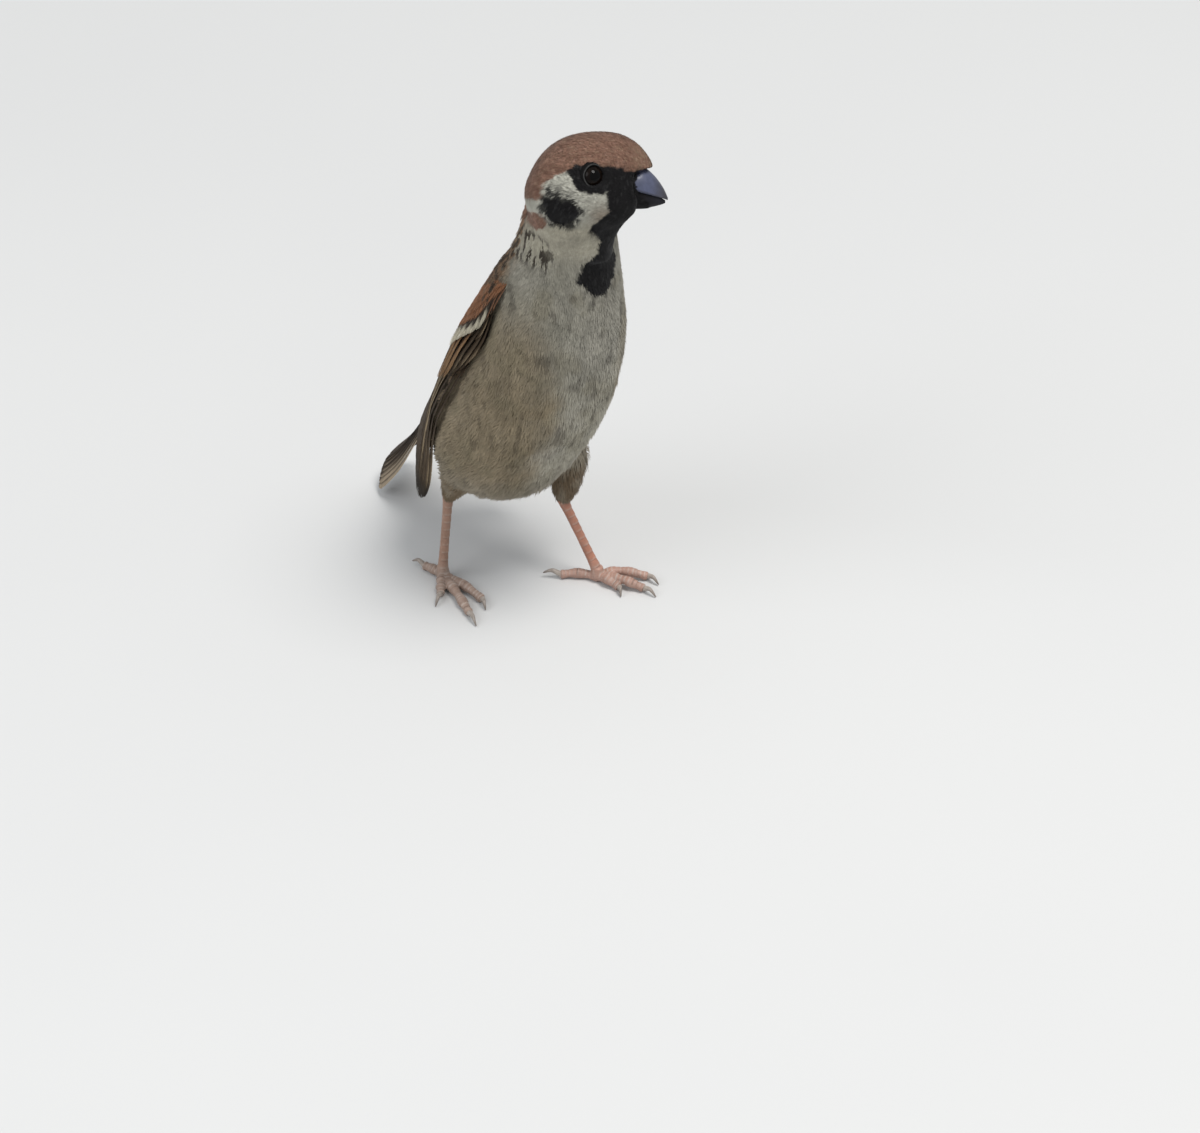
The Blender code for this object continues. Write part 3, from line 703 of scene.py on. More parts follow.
def wing_core(side):
    """The flesh and folded quills of a wing, thinner than the coat that lies over it."""
    rings = []
    for s in np.linspace(0.15, 6.3, 26):
        t = np.linspace(0.1, 0.9, 9)
        middle, out, lens = wing_frame(np.full(9, s), t)
        half = 0.55 * np.sin(np.pi * np.linspace(0.08, 0.92, 9)) ** 0.5 * lens
        outer = middle + out * (half - 0.65)[:, None]
        inner = middle - out * (half + 0.9)[:, None]
        ring = np.concatenate((outer, inner[::-1]))
        ring[:, 0] *= -side
        rings.append(place(ring))
    return loft_mesh(rings)


def tail_core():
    """The fleshy root of the tail."""
    rings = [inner_ring(body_points, 0.35, BODY_DEPTH)]
    rings.append(inner_ring(body_points, 0.0, BODY_DEPTH + 0.3))
    angle = around(RING_SIDES)
    for a in (0.1, 0.45, 0.8, 1.1):
        thick = np.where(np.cos(angle) > 0, 0.9, 1.9) * (1.25 - a) * np.cos(angle)
        rings.append(tail_place(np.full(RING_SIDES, a), 0.72 * np.sin(angle), thick - 0.5))
    return loft_mesh(rings)


def thigh_core(side):
    hip, heel = np.array(HIPS[side]), np.array(HEELS[side])
    shares = arr(-0.1, 0.35, 0.75, 0.97)[:, None]
    radii = np.array(THIGH_RADII[side]) * arr(0.8, 0.76, 0.66, 0.62)
    return tube_mesh(place(hip + (heel - hip) * shares), radii, 20)


def core_tube(rows):
    """A tapering tube through rows of (forward, up, left, radius) in the head's frame."""
    rows = rows_at(rows, np.linspace(0.0, len(rows) - 1.0, 13))
    return tube_mesh(head_place(rows[:, :3]), rows[:, 3], 40)


def smoothed(obj, weights, rounds):
    """Relaxes an object's mesh where the weights say so."""
    group = obj.vertex_groups.new(name="relax")
    for level in np.unique(weights[weights > 0.0]):
        group.add(np.flatnonzero(weights == level).tolist(), float(level), "REPLACE")
    mesh = relaxed(obj, rounds, group.name)
    obj.modifiers.clear()
    obj.data = mesh
    obj.vertex_groups.clear()
    mesh.name = obj.name


def crook_weights(points):
    """Where head and neck meet: 1 in the crook, 0 away from it, in tenths."""
    left, forward, up = split(bird(points))
    backs, back_ups, bellies, belly_ups, halves, _ = np.array(BODY_SECTIONS).T
    back, belly = np.interp(up, back_ups, backs), np.interp(up, belly_ups, bellies)
    half = np.interp(up, back_ups, halves)
    depth = (belly - back) / 2
    body = (np.hypot((forward - (back + belly) / 2) / depth, left / half) - 1.0) * 9.5
    head = (head_reach(points) - 1.0) * 10.0
    weight = fade(np.abs(head), 2.0, 5.5) * fade(np.abs(body), 2.0, 5.0)
    return np.round(weight * fade(up, 106.0, 110.0), 1)


def make_skin():
    """One closed skin under the whole coat."""
    shapes = []
    for surface_points, rows, rings, depth in (
        (body_points, BODY_SECTIONS, 55,
         lambda at: np.interp(at, (5.0, 7.5), (BODY_DEPTH, NECK_DEPTH))),
        (head_points, HEAD_SECTIONS, 45,
         lambda at: np.interp(at, (8.5, 10.0), (1.0, 0.5)) * HEAD_DEPTH),
    ):
        ats = np.linspace(0.0, len(rows) - 1.0, rings)
        shapes.append(loft_mesh([inner_ring(surface_points, at, depth(at)) for at in ats]))
    shapes.append(tail_core())
    shapes += [core_tube(rows) for rows in (NECK_CORE, THROAT_CORE)]
    shapes += [wing_core(sign) for sign in SIDES.values()]
    shapes += [thigh_core(side) for side in SIDES]
    skin = remeshed("skin", shapes, SKIN_VOXEL, 6)
    crook = crook_weights(vertices_of(skin))
    smoothed(skin, crook, 45)
    make_room_for_bill(skin)
    smoothed(skin, crook, 3)
    bed_wings(skin)
    carve_sockets(skin)
    return skin


def make_room_for_bill(skin):
    """Draws the face back to where the horn of the bill begins, and narrows it towards there."""
    points = vertices_of(skin)
    spot = in_head(points)
    forward, up, out = split(spot)
    limit = through(FACE_FRONT, up)
    ahead = (forward > limit) & (up > -10.0)
    spot[..., 0] = np.where(ahead, limit + 0.12 * (forward - limit), forward)
    near = ramp(forward, 3.2, 8.7) * fade(up, 2.0, 5.0) * ramp(up, -10.0, -6.5)
    widest = FACE_HALF - (FACE_HALF - LORE_HALF) * near
    wide = (np.abs(out) > widest) & (near > 0)
    squeeze = np.where(wide, widest / np.maximum(np.abs(out), 1e-6), 1.0)
    spot[..., 2] = out * (1 - 0.85 * (1 - squeeze))
    moved = ahead | (squeeze < 1)
    points = np.where(moved[:, None], head_place(spot), points)
    move_vertices(skin, points)


def bed_wings(skin):
    """Sinks the body where a folded wing lies against it, so that it stays under the wing."""
    s, t = np.meshgrid(np.linspace(0.6, 7.9, 100), np.linspace(0.0, 1.0, 31), indexing="ij")
    points = vertices_of(skin)
    _, out, _ = wing_frame(s, t)
    for sign in SIDES.values():
        spots = wing_place(s, t, 0.0, sign).reshape(-1, 3)
        ways = (out * arr(-sign, 1.0, 1.0)).reshape(-1, 3) * AHEAD_FLIPPED
        tree = tree_of(spots)
        for i in np.flatnonzero(np.abs(bird(points)[:, 0]) > BED_FROM):
            _, index, far = tree.find(points[i])
            height = (points[i] - spots[index]) @ ways[index]
            if far < BED_REACH and height > max(-BED_DEPTH, BED_SLOPE * far - 1.8):
                points[i] -= ways[index] * (height + BED_DEPTH)
    move_vertices(skin, points)


def eye_axes(sign):
    """Centre of an eye and its forward, up and outward directions, in the row frame."""
    forward, up, out = EYE_PLACE
    centre = head_place((forward, up, out * sign))
    turn = math.radians(EYE_TURN)
    outward = unit(arr(math.sin(turn), 0.06, sign * math.cos(turn)))
    above = unit(arr(0.0, 1.0, 0.0) - outward * outward[1])
    ahead = np.cross(above, outward) * sign
    return centre, head_vector(ahead), head_vector(above), head_vector(outward)


SOCKET_EDGE, SOCKET_DEPTH = (1.8, 2.6), 1.8


def carve_sockets(skin):
    """Dishes in the skin that the eyeballs sit in."""
    points = vertices_of(skin)
    for sign in SIDES.values():
        centre, ahead, above, outward = eye_axes(sign)
        local = points - centre
        out = local @ outward
        aside = np.hypot(local @ ahead, local @ above)
        dip = fade(aside, *SOCKET_EDGE) * SOCKET_DEPTH
        points = points - outward * (dip * (out > 0.5))[:, None]
    move_vertices(skin, points)


# ---------------------------------------------------------------- the lie of the coat
NECK_TOP, NECK_FOOT = (0.3, 17.5, 99.0), (0.0, 11.0, 84.0)


class Lie:
    """The direction in which the feathers lie, and the unwrap, near each part of the surface."""

    def __init__(self):
        self.parts = []
        angle = around(60)
        self.add(body_points, np.linspace(0.0, 9.0, 91), angle, (0.02, 0.60), 0.3)
        self.add(head_points, np.linspace(0.0, 10.0, 81), angle, (0.62, 0.98), 0.2)
        self.turn_down_the_neck()
        for side in SIDES:
            self.add_thigh(side)

    def add(self, surface, ats, angles, band, step):
        grid_at, grid_angle = np.meshgrid(ats, angles, indexing="ij")
        spots = surface(grid_at, grid_angle)
        last = ats[-1]
        back = surface(np.maximum(grid_at - step, 0.0), grid_angle)
        front = surface(np.minimum(grid_at + step, last), grid_angle)
        u = 0.01 + 0.98 * grid_angle / (2 * np.pi)
        v = band[0] + (band[1] - band[0]) * grid_at / last
        self.keep(spots, unit(back - front), np.stack((u, v), -1))

    def turn_down_the_neck(self):
        """Feathers of the back of the head and of the jaw run on down the neck."""
        tree, ways, maps, spots = self.parts[-1]
        forward, up, _ = split(in_head(spots))
        share = ramp(-0.5 * forward - 0.8 * (up + 2.0), 1.5, 7.0)[:, None]
        down = unit(place(NECK_FOOT) - place(NECK_TOP))
        self.parts[-1] = (tree, unit(ways * (1 - share) + down * share * 1.2), maps, spots)

    def add_thigh(self, side):
        hip, heel = place(HIPS[side]), place(HEELS[side])
        shares = np.linspace(0.3, 1.0, 16)
        radii = np.interp(shares, (0.0, 0.35, 0.75, 1.0), THIGH_RADII[side])
        points, _ = tube_mesh(hip + (heel - hip) * shares[:, None], radii, 24)
        spots = points[:-2].reshape(16, 24, 3)
        way = np.broadcast_to(unit(heel - hip), spots.shape)
        _, turn = np.meshgrid(np.linspace(0, 1, 16), np.linspace(0, 1, 24), indexing="ij")
        start = 0.02 if side == "right" else 0.52
        self.keep(spots, way, np.stack((start + 0.44 * turn, np.full(turn.shape, 0.985)), -1))

    def keep(self, spots, ways, maps):
        spots = spots.reshape(-1, 3)
        self.parts.append((tree_of(spots), ways.reshape(-1, 3), maps.reshape(-1, 2), spots))

    def at(self, points):
        """Directions and unwrap places for points near the skin."""
        total = np.zeros((len(points), 3))
        nearest = np.full(len(points), 1e9)
        maps = np.zeros((len(points), 2))
        for tree, ways, spots_uv, _ in self.parts:
            found = [tree.find(point) for point in points]
            index = np.array([hit[1] for hit in found])
            far = np.array([hit[2] for hit in found])
            total += ways[index] / ((far**2 + 1.0) ** 2)[:, None]
            closer = far < nearest
            maps[closer] = spots_uv[index[closer]]
            nearest = np.minimum(nearest, far)
        return unit(total), maps


def along_skin(directions, normals):
    """Directions turned into the skin's plane."""
    flat = directions - normals * (directions * normals).sum(-1, keepdims=True)
    return unit(flat)


class Ground:
    """The skin as something to stand on: nearest points and smooth normals."""

    def __init__(self, skin):
        skin.data.calc_loop_triangles()
        self.points, self.normals = vertices_of(skin), normals_of(skin)
        self.triangles = read(skin.data.loop_triangles, "vertices", np.int32)
        self.tree = BVHTree.FromPolygons(self.points.tolist(), self.triangles.tolist())

    def nearest(self, points):
        """Nearest surface points and their interpolated normals."""
        spots, normals = np.empty_like(points), np.empty_like(points)
        for i, point in enumerate(points):
            spot, _, face, _ = self.tree.find_nearest(point)
            spots[i] = spot
            corners = self.triangles[face]
            away = np.linalg.norm(self.points[corners] - spots[i], axis=1)
            weight = 1.0 / (away + 0.02)
            normals[i] = weight @ self.normals[corners]
        return spots, unit(normals)

    def scatter(self, spacing, keep, rng, crowd=5.0):
        """Evenly spread points where keep says so, about spacing(points) apart."""
        a, b, c = (self.points[self.triangles[:, k]] for k in range(3))
        area = np.linalg.norm(np.cross(b - a, c - a), axis=1) / 2
        middle = (a + b + c) / 3
        apart = spacing(middle)
        share = np.where(keep(middle), area / apart**2, 0.0)
        count = int(share.sum() * crowd)
        pick = rng.choice(len(area), count, p=share / share.sum())
        r1, r2 = np.sqrt(rng.random(count)), rng.random(count)
        w = np.stack((1 - r1, r1 * (1 - r2), r1 * r2), -1)[..., None]
        corners = self.triangles[pick]
        spots = (self.points[corners] * w).sum(1)
        normals = unit((self.normals[corners] * w).sum(1))
        apart = spacing(spots) * 0.86
        tree = tree_of(spots)
        free = np.ones(count, bool)
        chosen = []
        for index in range(count):
            if free[index]:
                chosen.append(index)
                for _, other, _ in tree.find_range(spots[index], apart[index]):
                    free[other] = False
        return spots[chosen], normals[chosen]


# ---------------------------------------------------------------- feathers
PATCH = 0.003  # size of a tuft's place in the OFBake map


class Coat:
    """Feathers gathered as arrays, to become one mesh."""

    def __init__(self):
        self.points, self.faces, self.colours, self.maps, self.normals = [], [], [], [], []
        self.count = 0

    def add(self, points, faces, colours, maps, normals):
        self.points.append(points)
        self.faces.append(faces + self.count)
        self.colours.append(colours)
        self.maps.append(maps)
        self.normals.append(normals)
        self.count += len(points)



    def object(self, name):
        points = np.concatenate(self.points)
        obj = fast_object(name, points, np.concatenate(self.faces))
        set_colours(obj, np.concatenate(self.colours))
        set_bake_map(obj, np.concatenate(self.maps))
        normals = np.concatenate(self.normals).astype(np.float32)
        obj.data.normals_split_custom_set_from_vertices(normals)
        return obj


def outline(u, fullest, point):
    """Half width of a feather along its length, as a share of its widest."""
    rise = np.clip(u / fullest, 0.0, 1.0) ** 0.6
    tip = np.sqrt(np.clip(1.0 - np.clip((u - fullest) / (1.0 - fullest), 0.0, 1.0) ** point, 0, 1))
    return np.where(u < fullest, rise, tip)


def along(paths, u):
    """Values of (N, S, 3) rows at shares u of shape (N, K)."""
    last = paths.shape[1] - 1
    at = np.clip(u, 0.0, 1.0) * last
    start = np.clip(at.astype(int), 0, last - 1)
    t = (at - start)[..., None]
    row = np.arange(len(paths))[:, None]
    return paths[row, start] * (1 - t) + paths[row, start + 1] * t


def feathers(paths, ups, half, paint, rng, maps, barbs=6, first=0.3, fullest=0.55, point=2.0,
             sweep=0.45, loose=0.1, strand=0.12, blunt=0.0, camber=0.12, rough=0.05, tilt=0.3,
             outer=1.0, narrow=-1.0):
    """Feathers as strips of barbs on both sides of a shaft.

    paths are (N, S, 3) centre lines from root to tip, ups the directions away from the body, and
    half the half width of each. outer is the share of its width that the web on the narrow hand
    keeps. paint gives the colours from (end points, share along, share across, feather).
    """
    count = len(paths)
    step = np.linalg.norm(np.diff(paths, axis=1), axis=-1)
    length = step.sum(1)[:, None]
    way = unit(np.gradient(paths, axis=1))
    f = (np.arange(barbs) + 0.5) / barbs
    u_end = first + (1.0 - first) * f**0.85
    u_end = np.concatenate((u_end, u_end, (1.0,)))[None]
    hand = np.concatenate((-np.ones(barbs), np.ones(barbs), (0.0,)))[None]
    total = 2 * barbs + 1
    jitter = rng.normal(0.0, 1.0, (3, count, total)) * loose
    u_end = u_end + jitter[0] * 0.25
    width = half[:, None] * np.where(hand * narrow > 0, outer, 1.0)
    reach = outline(np.clip(u_end, 0.02, 1.0), fullest, point) * (1.0 + jitter[1] * 0.6)
    y_end = hand * width * np.maximum(reach, 0.06) + jitter[2] * 0.5 * half[:, None]
    x_end = u_end * length
    x_base = np.maximum(u_end - sweep * (0.75 + 0.25 * reach), 0.0) * length
    y_base = hand * 0.04 * width
    x_mid = x_base + (x_end - x_base) * 0.5
    y_mid = y_base + (y_end - y_base) * 0.64
    dx, dy = x_end - x_base, y_end - y_base
    size = np.hypot(dx, dy) + 1e-6
    px, py = -dy / size, dx / size
    w0, w1 = strand * 0.9, strand
    xs = [x_base - px * w0, x_base + px * w0, x_mid - px * w1, x_mid + px * w1]
    ys = [y_base - py * w0, y_base + py * w0, y_mid - py * w1, y_mid + py * w1]
    if blunt:
        xs += [x_end - px * strand * blunt, x_end + px * strand * blunt]
        ys += [y_end - py * strand * blunt, y_end + py * strand * blunt]
    else:
        xs += [x_end]
        ys += [y_end]
    x, y = np.stack(xs, -1), np.stack(ys, -1)
    corners = x.shape[-1]
    flat_x, flat_y = x.reshape(count, -1), y.reshape(count, -1)
    u = flat_x / length
    centre, up = along(paths, u), unit(along(ups, u))
    ahead = along(way, u)
    beyond = np.clip(u - 1.0, 0.0, None)[..., None] * length[..., None]
    centre = centre + ahead * beyond
    aside = unit(np.cross(up, ahead))
    share = flat_y / np.repeat(width, corners, axis=1)
    lift = rng.random((count, total)) * rough
    lift = np.repeat(lift, corners, axis=1) * np.clip(u, 0.1, 1.0)
    drop = camber * half[:, None] * share**2
    points = centre + aside * flat_y[..., None] + up * (lift - drop)[..., None]
    lean = np.repeat(rng.normal(0.0, 0.5, (count, total)), corners, axis=1)[..., None]
    normals = unit(up + aside * (share * tilt)[..., None] + aside * lean * tilt * 0.5)
    ends = points.reshape(count, total, corners, 3)[:, :, -1]
    who = np.broadcast_to(np.arange(count)[:, None, None], (count, total, corners))
    colours = paint(
        ends, u.reshape(count, total, corners), share.reshape(count, total, corners), who
    )
    base = (np.arange(count * total) * corners)[:, None]
    pattern = [(0, 2, 3), (0, 3, 1), (2, 4, 3)]
    if blunt:
        pattern = [(0, 2, 3), (0, 3, 1), (2, 4, 5), (2, 5, 3)]
    faces = (base[:, None] + np.array(pattern)[None]).reshape(-1, 3)
    local = np.stack((0.5 + 0.5 * np.clip(share, -1, 1), np.clip(u, 0, 1)), -1) * PATCH
    uv = np.repeat(maps[:, None], u.shape[1], axis=1) + local
    return (
        points.reshape(-1, 3), faces, colours.reshape(-1, 3), uv.reshape(-1, 2),
        normals.reshape(-1, 3),
    )


def tuft_paths(ground, lie, spots, normals, length, depth, sway, lift=0.0):
    """Centre lines of tufts that follow the lie of the coat, rising from skin to coat depth."""
    way, maps = lie.at(spots)
    way = along_skin(way, normals)
    aside = np.cross(normals, way)
    way = unit(way + aside * sway[:, None])
    middle, normal_middle = ground.nearest(spots + way * (length * 0.5)[:, None])
    turn, _ = lie.at(middle)
    turn = along_skin(turn, normal_middle)
    turn = unit(turn + np.cross(normal_middle, turn) * sway[:, None])
    end, normal_end = ground.nearest(middle + turn * (length * 0.5)[:, None])
    rise = depth * (1.0 + lift)
    paths = np.stack(
        (spots, middle + normal_middle * (depth * 0.62)[:, None],
         end + normal_end * rise[:, None]), axis=1
    )
    ups = np.stack((normals, normal_middle, normal_end), axis=1)
    early = (paths[:, 0] + paths[:, 1]) / 2 + normals * (depth * 0.12)[:, None]
    late = (paths[:, 1] + paths[:, 2]) / 2 + normal_middle * (depth * 0.06)[:, None]
    paths = np.stack((paths[:, 0], early, paths[:, 1], late, paths[:, 2]), axis=1)
    ups = np.stack(
        (ups[:, 0], unit(ups[:, 0] + ups[:, 1]), ups[:, 1], unit(ups[:, 1] + ups[:, 2]), ups[:, 2]),
        axis=1,
    )
    return paths, ups, maps


# ---------------------------------------------------------------- coat of body and head
def is_head(points):
    return head_reach(points) < 1.07


def wing_cover():
    """A tree of points on the folded wings' outer faces."""
    s, t = np.meshgrid(np.linspace(0.9, 7.7, 75), np.linspace(0.0, 1.0, 19), indexing="ij")
    low = 0.14 - 0.07 * ramp(s, 2.6, 4.4)
    t = low + (0.84 + 0.14 * ramp(s, 4.2, 5.6) - low) * t
    return tree_of(
        np.concatenate([wing_place(s, t, 0.0, sign).reshape(-1, 3) for sign in SIDES.values()])
    )


def bare(points, cover):
    """Where no body feathers grow: under the wings, at the eyes and inside the bill."""
    wings = far_from(cover, points) < WING_MARGIN
    spot = in_head(points)
    eyes = np.zeros(len(points), bool)
    for sign in SIDES.values():
        centre, _, _, outward = eye_axes(sign)
        out = (points - centre) @ outward
        aside = np.linalg.norm(points - centre - out[:, None] * outward, axis=1)
        eyes |= (aside < 2.2) & (out > 0.0)
    forward, up, out = spot.T
    beak = (forward > through(FACE_FRONT, up) - 0.4) & (np.abs(out) < 3.2) & (up > -6.1)
    return wings | eyes | beak


def backside(points):
    """How far a point lies on the upper side, from 0 under the bird to 1 on its back."""
    _, forward, up = split(bird(points))
    return ramp(through(SIDE_LINE, up) - forward, -2.0, 2.0)


def over_wing(paths, cover):
    """Which points of the tufts lie on a folded wing."""
    return far_from(cover, paths.reshape(-1, 3)).reshape(paths.shape[:2]) < WING_TOUCH


TUFT_LENGTHS = (  # up, length of the body's tufts
    (18.0, 3.0), (22.0, 4.2), (28.0, 5.8), (40.0, 7.0), (60.0, 6.4), (75.0, 5.2), (88.0, 4.0),
    (100.0, 3.2),
)


def body_length(points):
    up = bird(points)[..., 2]
    return through(TUFT_LENGTHS, up)


def head_length(points):
    spot = in_head(points)
    size = np.interp(spot[..., 0], (-12, -6, 0, 5, 9, 12), (3.2, 2.8, 2.3, 1.7, 1.2, 0.95))
    eye = np.linalg.norm(spot[..., :2] - np.array(EYE_PLACE[:2]), axis=-1)
    return size * (0.55 + 0.45 * ramp(eye, 2.2, 5.5))


def own_tone(who, spread):
    """A tone of each feather's own, around 1."""
    return 1.0 + spread * (2.0 * chance(who * 97) - 1.0)


def soft_paint(tone_range, base_shade):
    """Colours that follow the markings at each barb's end, darker towards the root as painted shade
    deep in the coat.
    """

    def paint(ends, u, share, who):
        colour = plumage(ends) * own_tone(who[:, :, :1], tone_range)
        fleck = 1.0 + 0.10 * noise(ends, 0.35, 32)[..., None]
        colour = (colour * fleck)[:, :, None]
        # painted shade: each barb darkens towards its root, under the feathers above it
        shade = base_shade + (1.0 - base_shade) * ramp(u, 0.1, 0.75)[..., None]
        return colour * shade

    return paint


def vane_paint(ends, u, share, who):
    """Warm brown feathers with a black streak along the shaft, where the markings have streaks."""
    up = bird(ends)[..., 2][:, :, None]
    edge = plumage_plain(ends)[:, :, None] * own_tone(who, 0.16)[..., None]
    bold = np.where(chance(who * 31 + 5) > 0.3, 1.0, 0.2)
    streak = fade(np.abs(share), 0.40, 0.68) * ramp(u, 0.1, 0.3) * bold
    streak = streak * ramp(up, 50.0, 60.0) * fade(up, 93.0, 99.0)
    centre = mix(edge, STREAK, 0.94 * streak)
    rim = ramp(np.abs(share), 0.78, 1.0) * 0.22 + 0.12 * ramp(u, 0.88, 1.0)
    colour = mix(centre, MANTLE_PALE, rim)
    # painted shade: darker towards the root, under the feathers that overlap it
    return colour * (0.6 + 0.4 * ramp(u, 0.1, 0.6))[..., None]


def plumage_plain(points):
    """Ground colour of the upper side without its streaks."""
    up = bird(points)[..., 2]
    soft = noise(points, 4.0, 14)
    mantle = mix(MANTLE, MANTLE_PALE, 0.35 * ramp(soft, -0.2, 0.8))
    rump = mix(RUMP, MANTLE_PALE, 0.2 * ramp(soft, 0.0, 1.0))
    return mix(mix(rump, mantle, ramp(up, 50.0, 58.0)), CHESTNUT, ramp(up, 93.0, 98.0))


def rooted(ground, cover, rng, spacing, keep):
    """Evenly spread roots, with their normals, where body feathers grow."""
    spots, normals = ground.scatter(spacing, keep, rng)
    grows = ~bare(spots, cover)
    return spots[grows], normals[grows]


def grown(parts, paths, ups, maps, half, paint, rng, **style):
    """One coat piece for each part of the surface."""
    made = []
    for part, inside in parts.items():
        coat = Coat()
        coat.add(*feathers(
            paths[inside], ups[inside], half[inside], paint, rng, maps[inside], **style
        ))
        made.append(coat.object(f"coat_{part}"))
    return made


REGIONS = (  # name, from where up to where
    ("neck", 84.0, 999.0), ("breast", 62.0, 84.0), ("flank", 42.0, 62.0), ("belly", -99.0, 42.0),
)


def make_soft_coat(ground, lie, cover, rng, fine):
    """Soft tufts over neck, breast, flanks, belly and thighs."""
    spots, normals = rooted(
        ground, cover, rng, lambda p: (body_length(p) * 0.092) * fine,
        lambda p: ~is_head(p) & (backside(p) < 0.6) & (bird(p)[:, 1] > -26.0),
    )
    length = body_length(spots) * rng.uniform(0.85, 1.2, len(spots))
    drift = noise(spots, 5.0, 41) * 0.22 + noise(spots, 1.6, 42) * 0.18
    depth = np.interp(bird(spots)[:, 2], (18, 23, 33, 46, 70, 95), (0.3, 0.6, 1.8, 1.3, 1.2, 0.75))
    depth *= 0.45 + 0.55 * ramp(head_reach(spots), 1.05, 1.6)
    beside = far_from(cover, spots)
    depth *= 0.15 + 0.85 * ramp(beside, 1.7, 6.5)
    fluff = fade(bird(spots)[:, 2], 30.0, 50.0)
    lift = rng.uniform(-0.1, 0.2, len(spots)) + 0.25 * np.clip(noise(spots, 2.4, 43), 0, 1)
    lift += fluff * rng.uniform(0.0, 0.35, len(spots))
    paths, _, _ = tuft_paths(ground, lie, spots, normals, length, depth, drift, lift)
    hidden = over_wing(paths[:, 2:], cover)
    length *= np.where(hidden[:, :2].any(1), 0.5, np.where(hidden[:, 2], 0.75, 1.0))
    paths, ups, maps = tuft_paths(ground, lie, spots, normals, length, depth, drift, lift)
    left, _, up = split(bird(spots))
    parts = {
        f"{region}_{side_name}": (up > low) & (up <= high) & ((left < 0) == (sign < 0))
        for region, low, high in REGIONS for side_name, sign in SIDES.items()
    }
    return grown(
        parts, paths, ups, maps, length * 0.22, soft_paint(0.10, 0.72), rng, barbs=6, first=0.3,
        fullest=0.62, sweep=0.42, loose=0.09, strand=0.13, rough=0.16, tilt=0.22,
    )


def make_head_coat(ground, lie, cover, rng, fine):
    """Fine short feathers over the head, smallest round the bill and the eyes."""
    spots, normals = rooted(
        ground, cover, rng, lambda p: (0.10 + head_length(p) * 0.088) * fine, is_head
    )
    length = head_length(spots) * rng.uniform(0.85, 1.2, len(spots))
    forward, up, out = split(in_head(spots))
    drift = noise(spots, 3.0, 51) * 0.15 + noise(spots, 1.0, 52) * 0.15
    depth = np.interp(forward, (-10, 4, 10), (0.5, 0.42, 0.26))
    lift = rng.uniform(-0.1, 0.25, len(spots))
    paths, ups, maps = tuft_paths(ground, lie, spots, normals, length, depth, drift, lift)
    crown = up > 3.2
    parts = {"crown": crown, "face_right": ~crown & (out < 0), "face_left": ~crown & (out >= 0)}
    return grown(
        parts, paths, ups, maps, length * 0.21, soft_paint(0.12, 0.8), rng, barbs=4, first=0.3,
        fullest=0.6, sweep=0.45, loose=0.10, strand=0.075, rough=0.07, tilt=0.2,
    )


def make_back_coat(ground, lie, cover, rng, fine):
    """Vaned feathers of mantle, back and rump."""
    spots, normals = rooted(
        ground, cover, rng, lambda p: np.full(len(p), 1.15 * fine),
        lambda p: ~is_head(p) & (backside(p) >= 0.4) & (bird(p)[:, 1] > -24.0),
    )
    up = bird(spots)[:, 2]
    length = np.interp(up, (36, 55, 75, 92, 102), (8.5, 8.5, 8.0, 5.5, 3.6))
    length = length * rng.uniform(0.9, 1.12, len(spots))
    drift = noise(spots, 5.0, 61) * 0.12
    depth = np.interp(up, (40, 70, 100), (1.3, 1.3, 0.95))
    beside = far_from(cover, spots)
    depth *= 1.0 - 0.85 * fade(beside, 2.0, 5.5) * fade(up, 58.0, 66.0)
    lift = rng.uniform(-0.05, 0.2, len(spots))
    paths, ups, maps = tuft_paths(ground, lie, spots, normals, length, depth, drift, lift)
    sunk = paths[:, 1:] - normals[:, None] * depth[:, None, None]
    shown = (up >= 58.0) | ~over_wing(sunk, cover).any(1)
    return grown(
        {"mantle": shown}, paths, ups, maps, length * 0.24, vane_paint, rng, barbs=16, first=0.15,
        fullest=0.62, sweep=0.26, loose=0.03, strand=0.12, rough=0.08, tilt=0.3, camber=0.2,
    )


# ---------------------------------------------------------------- wings
def wing_path(s0, t0, s1, t1, low, high, side, stations=9):
    """Centre line of one wing feather over the wing's outer face, from root to tip."""
    share = np.linspace(0.0, 1.0, stations)
    s = s0 + (s1 - s0) * share
    t = t0 + (t1 - t0) * share
    height = low + (high - low) * share - 0.9 * fade(s, 0.0, 1.5)
    inside = np.minimum(s, WING_LAST)
    points = wing_place(inside, t, height, side)
    over = (s - inside)[:, None]
    points = points + over * 8.4 * unit(points[-1] - points[-3])
    _, out, _ = wing_frame(inside, t)
    return points, unit(out * arr(-side, 1.0, 1.0) * AHEAD_FLIPPED)


def wing_map(s, t, side):
    u = (0.02 if side < 0 else 0.52) + 0.44 * t
    return np.stack((u, 0.02 + 0.95 * s / WING_LAST), -1)


def edged(centre, edge, tip, edge_from=0.55, tip_from=0.9, hand=0.0, tip_share=1.0):
    """Colours of a feather with a dark centre, paler edges and a tip of its own."""

    def paint(ends, u, share, who):
        grain = 1.0 + 0.14 * noise(ends, 0.5, 71)[:, :, None, None]
        away = np.abs(share) if hand == 0.0 else np.clip(share * hand, 0.0, 1.5)
        colour = mix(centre, edge, ramp(away, edge_from, edge_from + 0.3))
        colour = mix(colour, tip, tip_share * ramp(u, tip_from, min(tip_from + 0.12, 0.999)))
        # painted shade: darker towards the root, under the feathers that overlap it
        return colour * grain * (0.75 + 0.25 * ramp(u, 0.05, 0.4))[..., None]

    return paint


